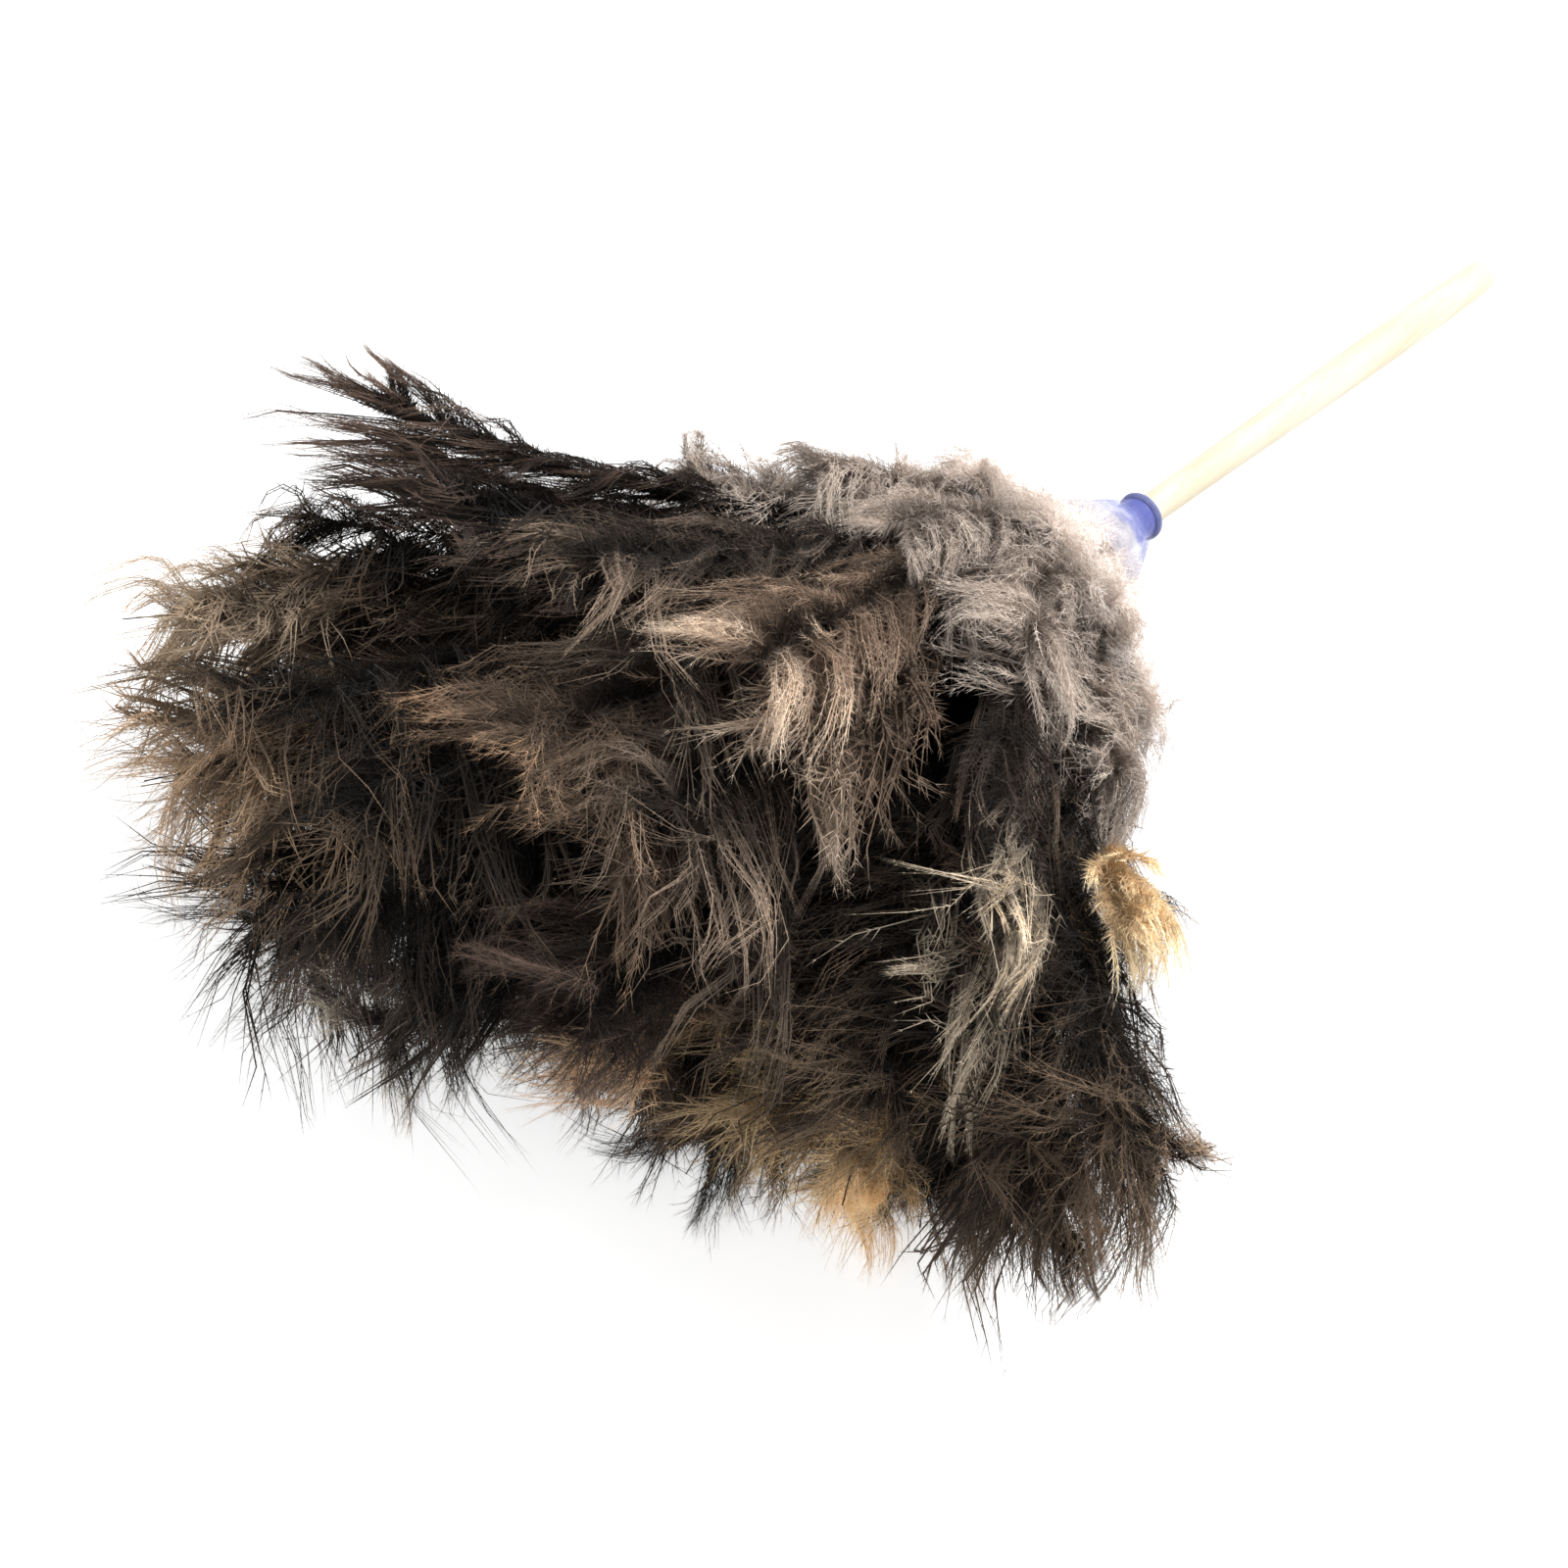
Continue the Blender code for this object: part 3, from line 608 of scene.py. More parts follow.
def plume_path(row, number):
    """The shaft's line in the half plane of reach and radius: arrays of length, reach, radius and angle."""
    length = row["length"] * row["reach_shares"][number]
    along = np.linspace(0.0, length, PATH_STEPS)
    step = along[1]
    bound = row["binding_end"] - row["butt_reach"]
    to_mouth = max(SKIRT_REACH - row["binding_end"], 0.0) / math.cos(row["lift"])
    past_mouth = along - bound - to_mouth
    angle = row["lift"] * smooth((along - bound) / LIFT_LENGTH)
    angle = angle + (row["lean"] - row["lift"]) * smooth(past_mouth / FLARE_LENGTH)
    curling = np.clip(past_mouth / (length - bound - to_mouth), 0.0, 1.0)
    angle = angle + row["curl"] * row["curl_shares"][number] * curling**2
    reach = row["butt_reach"] + np.cumsum(np.cos(angle)) * step - math.cos(angle[0]) * step
    radius = row["ring_radius"] + np.cumsum(np.sin(angle)) * step - math.sin(angle[0]) * step
    return along, reach, radius, angle


def softness_at(points, height):
    distance = np.linalg.norm(points - (0.0, 0.0, height), axis=-1)
    return distance, smooth((distance - FIRM_REACH) / (SOFT_REACH - FIRM_REACH))


def sagged(points, height):
    distance, softness = softness_at(points, height)
    sunk = points.copy()
    splay = smooth((distance - SPLAY_START_REACH) / (SPLAY_FULL_REACH - SPLAY_START_REACH))
    sunk[..., 1] *= 1.0 + SPLAY_SHARE * splay
    sunk[..., 2] -= SAG * (distance / HEAD_REACH) ** SAG_POWER
    above = np.maximum(sunk[..., 2] - SETTLE_HEIGHT, 0.0)
    sunk[..., 2] -= SETTLE_SHARE * softness * above**2 / (above + SETTLE_START)
    return sunk


def pressed(points, height):
    softness = softness_at(points, height)[1]
    below = np.minimum(points[..., 2] - PRESS_HEIGHT, 0.0)
    room = PRESS_HEIGHT - PRESS_FLOOR
    squeezed = room * (np.exp(below / room) - 1.0)
    flat = points.copy()
    flat[..., 2] += softness * (squeezed - below)
    return flat


def skirt_inner_radius(reach):
    """Radius inside the film, from the cap to the mouth."""
    shoulder = RIM_LENGTH + GAP + SKIRT_NECK_LENGTH
    share = np.clip((reach - shoulder) / (SKIRT_REACH - shoulder), 0.0, 1.0)
    neck = CAP_RADIUS + GAP
    return neck + (SKIRT_MOUTH_RADIUS - FILM_THICKNESS - neck) * share


class Plume:
    """One plume's shaft, and the way from places along, across and off it to places on the table."""

    def __init__(self, row, number, turned=0.0, under=False):
        self.row = row
        self.number = number
        self.name = f"{row['name']}_{number + 1:02d}"
        self.path = plume_path(row, number)
        self.length = self.path[0][-1] * (UNDER_LENGTH_SHARE if under else 1.0)
        self.shift = turned + (UNDER_SHIFT if under else 0.0)
        self.under = under
        self.inward = UNDER_SLOPE if under else 0.0
        self.turn = 2.0 * math.pi * (number + row["turn_share"]) / row["count"] - math.pi / 2
        self.bound = row["binding_end"] - row["butt_reach"]

    def to_table(self, place, across, off, drop=0.0):
        """place runs along the shaft, across is -1 to 1 over the plume's sector, off points outwards."""
        along, reach, radius, angle = self.path
        across = across + self.shift * smooth((place - self.bound) / FLARE_LENGTH)
        off = off - self.inward * np.maximum(place - self.bound, 0.0)
        over = np.maximum(place - self.length, 0.0)
        at_reach = np.interp(place, along, reach) + over * math.cos(angle[-1])
        at_radius = np.interp(place, along, radius) + over * math.sin(angle[-1])
        at_angle = np.interp(place, along, angle)
        out = at_radius + off * np.cos(at_angle)
        forward = at_reach - off * np.sin(at_angle)
        kept_in = forward < SKIRT_REACH
        out = np.where(kept_in, np.minimum(out, skirt_inner_radius(forward) - FILM_CLEARANCE), out)
        out = np.maximum(out, CORE_RADIUS)
        azimuth = self.turn + across * FILL_SHARE * math.pi / self.row["count"]
        points = np.stack([-forward, out * np.cos(azimuth), out * np.sin(azimuth)], axis=-1)
        turned = points @ TILT.T + (0.0, 0.0, ORIGIN.z)
        turned = sagged(turned, ORIGIN.z)
        turned[..., 2] -= drop
        flat = pressed(turned, ORIGIN.z)
        flat[..., 2] = np.maximum(flat[..., 2], TABLE_CLEARANCE)
        return flat + (ORIGIN.x, ORIGIN.y, 0.0)

    def swayed(self, place, look):
        """How far across its sector the shaft lies."""
        return look["sway"] * np.sin(math.pi * place / self.length * SWAY_TURNS + look["phase"])

    def lifted(self, place, look):
        """How far off its row a loose plume lies."""
        return look["lift"] * smooth((place - self.bound) / LIFT_SPAN)


# Barbs


def locks_of(count, smallest, largest, rng):
    """For barbs in order along one side of a shaft, the number of the lock that each belongs to."""
    sizes = rng.integers(smallest, largest + 1, count)
    return np.repeat(np.arange(count), sizes)[:count]


def stepped(fan, climb, step):
    """How far barbs get along the shaft, across it and off it, from their angles at even steps."""
    changes = (np.cos(fan) * np.cos(climb) * step, np.sin(fan) * np.cos(climb) * step, np.sin(climb) * step)
    totals = (np.cumsum(change, axis=1) for change in changes)
    return [total - total[:, :1] for total in totals]


def gathered(arrays, lock, pull):
    """Draws the barbs of each lock towards their middle."""
    members = np.bincount(lock)[:, None]
    for values in arrays:
        middle = np.zeros((len(members), values.shape[1]))
        np.add.at(middle, lock, values)
        yield values + pull * ((middle / members)[lock] - values)


def barb_lines(plume, look, rng):
    """Lines of all barbs of a plume: points (barbs, points, 3), their shares along the plume and tones."""
    row = plume.row
    per_side = row["barbs"]
    count = row["points"]
    lock = locks_of(per_side, *look["locks"], rng)
    lock = np.concatenate([lock, locks_of(per_side, *look["locks"], rng) + lock.max() + 1])
    lock_count = lock.max() + 1
    total = 2 * per_side
    side = np.repeat([1.0, -1.0], per_side)
    side = np.where(rng.random(total) < CROSSED_SHARE, -side, side)[:, None]
    share = np.tile((np.arange(per_side) + 0.5) / per_side, 2)[:, None]
    first = max(plume.bound + row["bare"], plume.length * look["bare_share"])
    start = first + (plume.length * LAST_BARB_SHARE - first) * share**BARB_CROWDING
    near_tip = smooth((share - NEAR_TIP_FROM) / NEAR_TIP_SPAN)
    near_root = 1.0 - smooth(share / NEAR_ROOT_SPAN)

    def spread(low, high, own=0.15):
        """A draw for each lock, with a little of each barb's own."""
        middle, half = (low + high) / 2, (high - low) / 2
        lock_draw = rng.uniform(-1, 1, lock_count)[lock]
        return (middle + half * (lock_draw * (1.0 - own) + rng.uniform(-1, 1, total) * own))[:, None]

    length = row["barb_length"] * look["length"] * spread(*BARB_LENGTHS, own=0.3)
    length = length * (1.0 - TIP_SHORTER * near_tip) * (1.0 - ROOT_SHORTER * near_root)
    ahead = (plume.length * look["past"] - start) * spread(*AHEAD)
    length = np.minimum(length, ahead / look["fan"])
    fanned = np.arccos(np.clip(ahead / length, look["fan"], 1.0))
    leave = np.radians(spread(*look["leave"])) * (1.0 - TIP_LEAVE_LESS * near_tip)
    aim = np.radians(spread(*look["aim"])) * (1.0 - TIP_AIM_LESS * near_tip)
    leave, aim = np.maximum(leave, fanned), np.maximum(aim, fanned)
    bend = row["barb_length"] * spread(*BEND)
    rise = np.radians(spread(*look["rise"]))
    side_curl = np.radians(spread(-look["curl"], look["curl"], own=0.35))
    off_curl = np.radians(spread(-look["curl"], look["curl"], own=0.35))
    wave = np.radians(spread(0, look["wave"], own=0.4))
    cycles = spread(*WAVES)
    phase = spread(0, 2 * math.pi, own=0.25)

    u = np.linspace(0.0, 1.0, count)
    fan = aim + (leave - aim) * np.exp(-length * u / bend)
    fan = fan + wave * np.sin(2 * math.pi * cycles * u + phase) + side_curl * u**CURL_POWER
    off_swing = OFF_WAVE_SHARE * wave * np.cos(OFF_WAVE_TURN * u + phase)
    climb = rise * np.exp(-RISE_FADE * u) + off_swing + off_curl * u**CURL_POWER
    run, cross, off = stepped(fan, climb, length / (count - 1))
    place = start + run
    width = look["width"] * (UNDER_SPREAD_SHARE if plume.under else 1.0)
    across = side * cross / row["side_reach"] * width * (1.0 - TIP_NARROWER * near_tip)
    stand_off = spread(*STAND_OFF) * row["thick"] * smooth(STAND_OFF_RATE * u)
    arch = -ARCH_SHARE * row["thick"] * np.minimum(across**2, ARCH_LIMIT) * (1.0 - near_root)
    off = off * FLATTENING + stand_off + arch + plume.lifted(place, look)
    lock_pull = (PULL_EVEN + PULL_OWN * rng.random(lock_count)[lock])[:, None]
    pull = look["pull"] * smooth((u - PULL_FROM) / PULL_SPAN) * lock_pull
    stray = rng.random(total) < look["stray"]
    pull[stray] *= STRAY_PULL_SHARE
    place, across, off = gathered((place, across, off), lock, pull)
    drop = look["drop"] * length * u**DROP_POWER * spread(*DROPS)
    points = plume.to_table(place, across + plume.swayed(place, look), off, drop)
    points = tousled(points, u, look["tousle"], rng)
    draws = (rng.random(), rng.random(lock_count)[lock], rng.random(total))
    tone = TONE_SHARES[0] * draws[0] + TONE_SHARES[1] * draws[1] + TONE_SHARES[2] * draws[2]
    # The coarse layer under the plume is painted darker, as shade deep in the head
    if plume.under:
        tone = tone * look["under_shade_tone"]
    place_share = np.clip(place / plume.length, 0.0, FARTHEST_SHARE)
    return points, place_share, tone


def tousled(points, u, amount, rng):
    """Moves the loose ends of barbs by waves that neighbours share."""
    moved = points.copy()
    for _ in range(TOUSLE_WAVES):
        heading = unit(rng.normal(size=3))
        shift = unit(rng.normal(size=3))
        wavelength = rng.uniform(*TOUSLE_WAVELENGTHS)
        phase = rng.uniform(0, 2 * math.pi)
        ripple = np.sin(2 * math.pi * (points @ heading) / wavelength + phase)
        moved += (amount * ripple * u**TOUSLE_POWER)[..., None] * shift
    moved[..., 2] = np.maximum(moved[..., 2], TABLE_CLEARANCE)
    return moved


def unit(vectors):
    return vectors / (np.linalg.norm(vectors, axis=-1, keepdims=True) + 1e-12)


def directions(lines):
    """Along lines of points, and two ways across them. The points run along the last axis but one."""
    tangent = unit(np.gradient(lines, axis=-2))
    aside = unit(np.cross(tangent, np.array(ASKEW)))
    return tangent, aside, np.cross(tangent, aside)


def tubes(points, aside, other, radius):
    """Tapering tubes along lines: the vertices of each, its rings and then its tip."""
    lines, count, _ = points.shape
    u = np.linspace(0.0, 1.0, count)
    width = radius[:, None] * (1.0 - (1.0 - BARB_TIP_SHARE) * u)
    rings = []
    for k in range(BARB_SIDES):
        turn = 2 * math.pi * k / BARB_SIDES
        offset = math.cos(turn) * aside + math.sin(turn) * other
        rings.append(points + offset * width[..., None])
    rings = np.stack(rings, axis=2)[:, :-1]
    return np.concatenate([rings.reshape(lines, -1, 3), points[:, -1:]], axis=1)


def barbules(points, tangent, aside, other, row, look, rng):
    """Fine flat hairs that stand off each barb in pairs. A pair is two narrow triangles on one short base."""
    lines, count, _ = points.shape
    each = row["barbule_pairs"]
    u = ((np.arange(each) + rng.random((lines, each))) / each) ** BARBULE_CROWDING
    u = u * BARBULE_SPAN + BARBULE_START
    at = u * (count - 1)
    first = np.minimum(at.astype(int), count - 2)
    part = (at - first)[..., None]
    picked = np.arange(lines)[:, None]

    def between(values):
        return values[picked, first] * (1 - part) + values[picked, first + 1] * part

    base, ahead = between(points), unit(between(tangent))
    first_side, second_side = between(aside), between(other)
    turn = rng.uniform(0, 2 * math.pi, (lines, each))
    apexes = []
    for opposite in (0.0, math.pi):
        around = (turn + opposite + rng.uniform(-UNEVEN_TURN, UNEVEN_TURN, (lines, each)))[..., None]
        out = unit(np.cos(around) * first_side + np.sin(around) * second_side)
        sweep = rng.uniform(*BARBULE_SWEEP, (lines, each)) * (SWEEP_AT_ROOT - SWEEP_LOSS * u)
        sweep = np.radians(sweep)[..., None]
        heading = ahead * np.cos(sweep) + out * np.sin(sweep)
        length = row["barbule_length"] * look["fluff"] * rng.uniform(*BARBULE_LENGTHS, (lines, each))
        length = length * (LENGTH_AT_ROOT - look["taper"] * u)
        apex = base + heading * length[..., None]
        apex[..., 2] = np.maximum(apex[..., 2], TABLE_CLEARANCE)
        apexes.append(apex)
    half = ahead * (row["barbule_half_width"] * (1.0 - WIDTH_LOSS * u))[..., None]
    back, front = base - half, base + half
    corners = np.stack([back, front, *apexes], axis=2)
    return corners.reshape(lines, each * 4, 3), u


# Bake map. Each barb has a cell, its tube on the left and its barbules on the right.
MAP_COLUMNS = 4
MAP_MAIN = 0.72  # the plume's own barbs lie below, those under it above
MAP_TOP = 0.965  # the shaft's strip lies above
MAP_TUBE_SHARE = 0.6  # of a cell's width
MAP_HAIR_END = 0.98  # of a cell's width, where the barbules end
MAP_MARGIN = 0.06  # of the strip of each side of a tube
MAP_SHAFT_MARGIN = 0.1  # of the strip of each side of the shaft
MAP_EDGE = 0.002  # left free at the map's sides
BARBULE_ROWS = 3
BARBULE_FACES = np.array([(0, 1, 2), (1, 0, 3)])


class Cells:
    """Cells of the bake map for the barbs of one layer."""

    def __init__(self, lines):
        index = np.arange(lines)
        self.width = 1.0 / MAP_COLUMNS
        self.height = 1.0 / math.ceil(lines / MAP_COLUMNS)
        left = (index % MAP_COLUMNS) * self.width
        low = (index // MAP_COLUMNS) * self.height
        self.start = np.stack([left, low], axis=-1)[:, None, None, :]

    def placed(self, corners, wide, tall):
        """Corners of faces, scaled and laid into every cell."""
        return self.start + (corners * (wide, tall))[None]


def ring_quads(rings, strips, columns):
    """Quads between rings, and their corners on a map that has a strip for each side of the rings."""
    sides = len(strips)
    quads, places = [], []
    for k in range(rings - 1):
        x0, x1 = (k + 1) / columns, (k + 2) / columns
        for j, (y0, y1) in enumerate(strips):
            low, after = k * sides, (j + 1) % sides
            quads.append((low + j, low + after, low + sides + after, low + sides + j))
            places.append(((x0, y0), (x0, y1), (x1, y1), (x1, y0)))
    return np.array(quads), np.array(places)


def tube_faces(rings, cells):
    """Faces of one tube, and their corners on the map for all tubes."""
    strips = [(j + MAP_MARGIN, j + 1 - MAP_MARGIN) for j in range(BARB_SIDES)]
    columns = rings + 2
    quads, quad_map = ring_quads(rings, strips, columns)
    last = BARB_SIDES * (rings - 1)
    x0, x1 = rings / columns, (rings + 1) / columns
    ends = [(2, 1, 0)]
    end_map = [((0.1 / columns, 0.1), (0.9 / columns, 1.5), (0.1 / columns, 2.9))]
    for j, (y0, y1) in enumerate(strips):
        ends.append((last + j, last + (j + 1) % BARB_SIDES, BARB_SIDES * rings))
        end_map.append(((x0, y0), (x0, y1), (x1, j + 0.5)))
    size = (cells.width * MAP_TUBE_SHARE, cells.height / BARB_SIDES)
    return quads, cells.placed(quad_map, *size), np.array(ends), cells.placed(np.array(end_map), *size)


def barbule_map(each, cells):
    """Corners of all barbules on the map."""
    per_row = math.ceil(each / BARBULE_ROWS)
    wide = cells.width * (MAP_HAIR_END - MAP_TUBE_SHARE) / per_row
    tall = cells.height / BARBULE_ROWS
    index = np.arange(each)
    x = cells.width * MAP_TUBE_SHARE + (index % per_row) * wide
    y = (index // per_row) * tall
    back, front, first, second = (0.1, 0.5), (0.9, 0.5), (0.5, 0.95), (0.5, 0.05)
    corners = np.array((back, front, first, front, back, second)) * (wide, tall)
    return cells.placed(np.stack([x, y], axis=-1)[:, None, :] + corners[None], 1.0, 1.0)


SHAFT_SIDES = 6
SHAFT_RINGS = 30
SHAFT_THIN_FROM = 0.6  # share of the plume past which its shaft stays thin
SHAFT_TIP_SHARE = 0.2
SHAFT_START = 0.0005
SHAFT_LENGTH_SHARE = 0.985
# The shaft counts as part closed, so the painted shade darkens it part way
SHAFT_OPENING = 0.3  # how open its places count


def shaft(plume, look):
    """The quill and shaft, thick and bare at the binding and hair-thin at the tip."""
    place = np.linspace(SHAFT_START, plume.length * SHAFT_LENGTH_SHARE, SHAFT_RINGS)
    sway = plume.swayed(place, look) * smooth((place - plume.bound) / FLARE_LENGTH)
    line = plume.to_table(place, sway, plume.lifted(place, look))
    thin = smooth((place - plume.bound) / (plume.length * SHAFT_THIN_FROM))
    width = plume.row["quill_radius"] * (1.0 - (1.0 - SHAFT_TIP_SHARE) * thin)
    _, aside, other = directions(line)
    turns = 2 * math.pi * np.arange(SHAFT_SIDES) / SHAFT_SIDES
    ring = np.cos(turns)[None, :, None] * aside[:, None] + np.sin(turns)[None, :, None] * other[:, None]
    rings = line[:, None] + ring * width[:, None, None]
    return np.concatenate([rings.reshape(-1, 3), line[:1], line[-1:]])


def shaft_faces():
    """Faces of a shaft and their corners on the map: quads between rings, then a fan over each end."""
    edges = (MAP_SHAFT_MARGIN, 1.0 - MAP_SHAFT_MARGIN)
    strips = [
        [MAP_TOP + (1.0 - MAP_TOP) * (j + edge) / SHAFT_SIDES for edge in edges] for j in range(SHAFT_SIDES)
    ]
    columns = SHAFT_RINGS + 1
    root, tip = SHAFT_RINGS * SHAFT_SIDES, SHAFT_RINGS * SHAFT_SIDES + 1
    last = root - SHAFT_SIDES
    x0, x1 = 1 / columns, SHAFT_RINGS / columns
    ends, end_map = [], []
    for j, (y0, y1) in enumerate(strips):
        after = (j + 1) % SHAFT_SIDES
        ends += [(after, j, root), (last + j, last + after, tip)]
        end_map += [((x0, y1), (x0, y0), (MAP_EDGE, y0)), ((x1, y0), (x1, y1), (1.0 - MAP_EDGE, y0))]
    return *ring_quads(SHAFT_RINGS, strips, columns), np.array(ends), np.array(end_map)


class Parts:
    """Arrays of one piece's mesh, gathered part by part. Parts share out the bake map's height."""

    def __init__(self):
        self.points, self.strand, self.horn, self.opening = [], [], [], []
        self.quads, self.quad_map, self.triangles, self.triangle_map = [], [], [], []
        self.count = 0

    def add(self, points, strand, opening, horn=0.0, quads=None, triangles=None, band=(0.0, 1.0)):
        """quads and triangles are pairs of faces and their corners on the bake map, which go into band."""
        low, high = band
        for faces, kept, kept_map in (
            (quads, self.quads, self.quad_map),
            (triangles, self.triangles, self.triangle_map),
        ):
            if faces is not None:
                kept.append(faces[0] + self.count)
                kept_map.append(faces[1].reshape(-1, 2) * (1.0, high - low) + (0.0, low))
        self.points.append(points)
        self.strand.append(strand)
        self.horn.append(np.full(len(points), horn))
        self.opening.append(opening)
        self.count += len(points)

    def mesh(self, name):
        """One mesh of all parts, with its bake map and the places that its material reads."""
        mesh = bpy.data.meshes.new(name)
        points = np.concatenate(self.points)
        mesh.vertices.add(len(points))
        mesh.vertices.foreach_set("co", points.astype(np.float32).ravel())
        quads, triangles = np.concatenate(self.quads), np.concatenate(self.triangles)
        corners = np.concatenate([quads.ravel(), triangles.ravel()]).astype(np.int32)
        sizes = np.concatenate([np.full(len(quads), 4), np.full(len(triangles), 3)])
        starts = np.concatenate([[0], np.cumsum(sizes)[:-1]]).astype(np.int32)
        mesh.loops.add(len(corners))
        mesh.loops.foreach_set("vertex_index", corners)
        mesh.polygons.add(len(sizes))
        mesh.polygons.foreach_set("loop_start", starts)
        mesh.update(calc_edges=True)
        layer = mesh.uv_layers.new(name="OFBake")
        corner_map = np.concatenate(self.quad_map + self.triangle_map)
        layer.uv.foreach_set("vector", corner_map.astype(np.float32).ravel())
        for label, kind, field, values in (
            ("strand", "FLOAT_VECTOR", "vector", self.strand),
            ("horn", "FLOAT", "value", self.horn),
            ("opening", "FLOAT", "value", self.opening),
        ):
            kept = mesh.attributes.new(label, kind, "POINT")
            kept.data.foreach_set(field, np.concatenate(values).astype(np.float32).ravel())
        return mesh


def placed(name, mesh, material):
    """A new object that shows a mesh, shaded smooth."""
    mesh.shade_smooth()
    mesh.materials.append(material)
    made = bpy.data.objects.new(name, mesh)
    bpy.context.collection.objects.link(made)
    return made


class Layer:
    """The barbs on one shaft, before their mesh is made."""

    def __init__(self, plume, look, rng, band):
        self.row = plume.row
        self.points, self.place_share, self.tone = barb_lines(plume, look, rng)
        self.band = band
        self.opening = None


def opening_shares(points):
    """How much of the sky each point sees past the cells full of barbs round it."""
    low = points.min(axis=0) - CELL * (RAY_STEPS + CELL_MARGIN)
    size = np.ceil((points.max(axis=0) - low) / CELL).astype(int) + RAY_STEPS + CELL_MARGIN + 1
    cells = ((points - low) / CELL).astype(int)
    flat = np.ravel_multi_index(cells.T, size)
    full = np.bincount(flat, minlength=int(np.prod(size))).reshape(size).astype(np.float32)
    for axis in range(3):
        full = CELL_KEPT * full + CELL_SPREAD * (np.roll(full, 1, axis) + np.roll(full, -1, axis))
    seen = np.zeros(len(points))
    weights = 0.0
    for k in range(RAYS):
        height = 1.0 - 2.0 * (k + 0.5) / RAYS
        turn = math.pi * (1.0 + math.sqrt(5.0)) * k
        wide = math.sqrt(1.0 - height**2)
        ray = np.array((wide * math.cos(turn), wide * math.sin(turn), height))
        passed = np.zeros(len(points), np.float32)
        for step in range(RAY_STEPS):
            at = ((points + ray * CELL * (step + RAY_START) - low) / CELL).astype(int)
            passed += full[at[:, 0], at[:, 1], at[:, 2]]
        weight = 1.0 - RAY_UPWARD_SHARE + RAY_UPWARD_SHARE * max(height, 0.0) * 2.0
        seen += weight * np.exp(-RAY_LOSS * passed)
        weights += weight
    return seen / weights


def add_barbs(parts, layer, look, rng):
    """All barbs of one shaft, with their barbules."""
    row, points, place_share, tone = layer.row, layer.points, layer.place_share, layer.tone
    lines = len(points)
    rings = row["points"] - 1
    radius = row["barb_radius"] * rng.uniform(*BARB_THICKNESSES, lines)
    tangent, aside, other = directions(points)
    tube_points = tubes(points, aside, other, radius)
    per_tube = tube_points.shape[1]
    offsets = (np.arange(lines) * per_tube)[:, None, None]
    cells = Cells(lines)
    quads, quad_map, ends, end_map = tube_faces(rings, cells)
    u = np.linspace(0.0, 1.0, rings + 1)

    def round_tubes(values):
        """Values at the points of lines, for the vertices of their tubes."""
        return np.concatenate([np.repeat(values[:, :-1], BARB_SIDES, axis=1), values[:, -1:]], axis=1)

    opening = round_tubes(layer.opening)
    strand = np.broadcast_arrays(round_tubes(place_share), round_tubes(u[None]), tone[:, None])
    strand = np.stack(strand, axis=-1)
    parts.add(
        tube_points.reshape(-1, 3),
        strand.reshape(-1, 3),
        opening.reshape(-1),
        quads=((quads[None] + offsets).reshape(-1, 4), quad_map),
        triangles=((ends[None] + offsets).reshape(-1, 3), end_map),
        band=layer.band,
    )
    each = row["barbule_pairs"]
    hairs, hair_share = barbules(points, tangent, aside, other, row, look, rng)
    at = (np.arange(lines)[:, None], (hair_share * rings).round().astype(int))
    hair_tone = np.clip(tone[:, None] + rng.uniform(*BARBULE_TONES, (lines, each)), 0.0, 1.0)
    hair_strand = np.repeat(np.stack([place_share[at], hair_share, hair_tone], axis=-1), 4, axis=1)
    bases = 4 * np.arange(lines * each)
    parts.add(
        hairs.reshape(-1, 3),
        hair_strand.reshape(-1, 3),
        np.repeat(layer.opening[at], 4, axis=1).reshape(-1),
        triangles=((bases[:, None, None] + BARBULE_FACES).reshape(-1, 3), barbule_map(each, cells)),
        band=layer.band,
    )


def lay_plume(row, number, look):
    """The plume and its two layers of barbs: its own, and the coarse one below."""
    row = {**row, "barbs": int(row["barbs"] * look["barbs"])}
    plume = Plume(row, number, look["turn"])
    rng = np.random.default_rng([SEED, *(ord(letter) for letter in plume.name)])
    under_row = {
        **row,
        "barbs": int(row["barbs"] * look["under_barbs"]),
        "barb_radius": row["barb_radius"] * UNDER_THICKNESS_SHARE,
        "barbule_length": row["barbule_length"] * UNDER_BARBULE_SHARE,
        "barbule_half_width": BARBULE_HALF_WIDTH * UNDER_WIDTH_SHARE,
        "barbule_pairs": UNDER_PAIRS,
        "points": UNDER_POINTS,
    }
    under = Plume(under_row, number, look["turn"], under=True)
    layers = [Layer(plume, look, rng, (0.0, MAP_MAIN)), Layer(under, look, rng, (MAP_MAIN, MAP_TOP))]
    return plume, look, rng, layers


def build_plume(plume, look, rng, layers, material):
    """Makes the plume's mesh, which takes the place of the solid of its name. Loose plumes have no solid."""
    parts = Parts()
    for layer in layers:
        add_barbs(parts, layer, look, rng)
    points = shaft(plume, look)
    quads, quad_map, ends, end_map = shaft_faces()
    strand = np.full((len(points), 3), 0.5)
    strand[:-2, 0] = np.repeat(np.linspace(0.0, 1.0, SHAFT_RINGS), SHAFT_SIDES)
    opening = np.full(len(points), SHAFT_OPENING)
    parts.add(points, strand, opening, 1.0, quads=(quads, quad_map), triangles=(ends, end_map))
    name = plume.name + "_barbs"
    made = placed(name, parts.mesh(name), material)
    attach(made, "root")
    if "like" not in plume.row:
        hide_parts(plume.name)
    return made


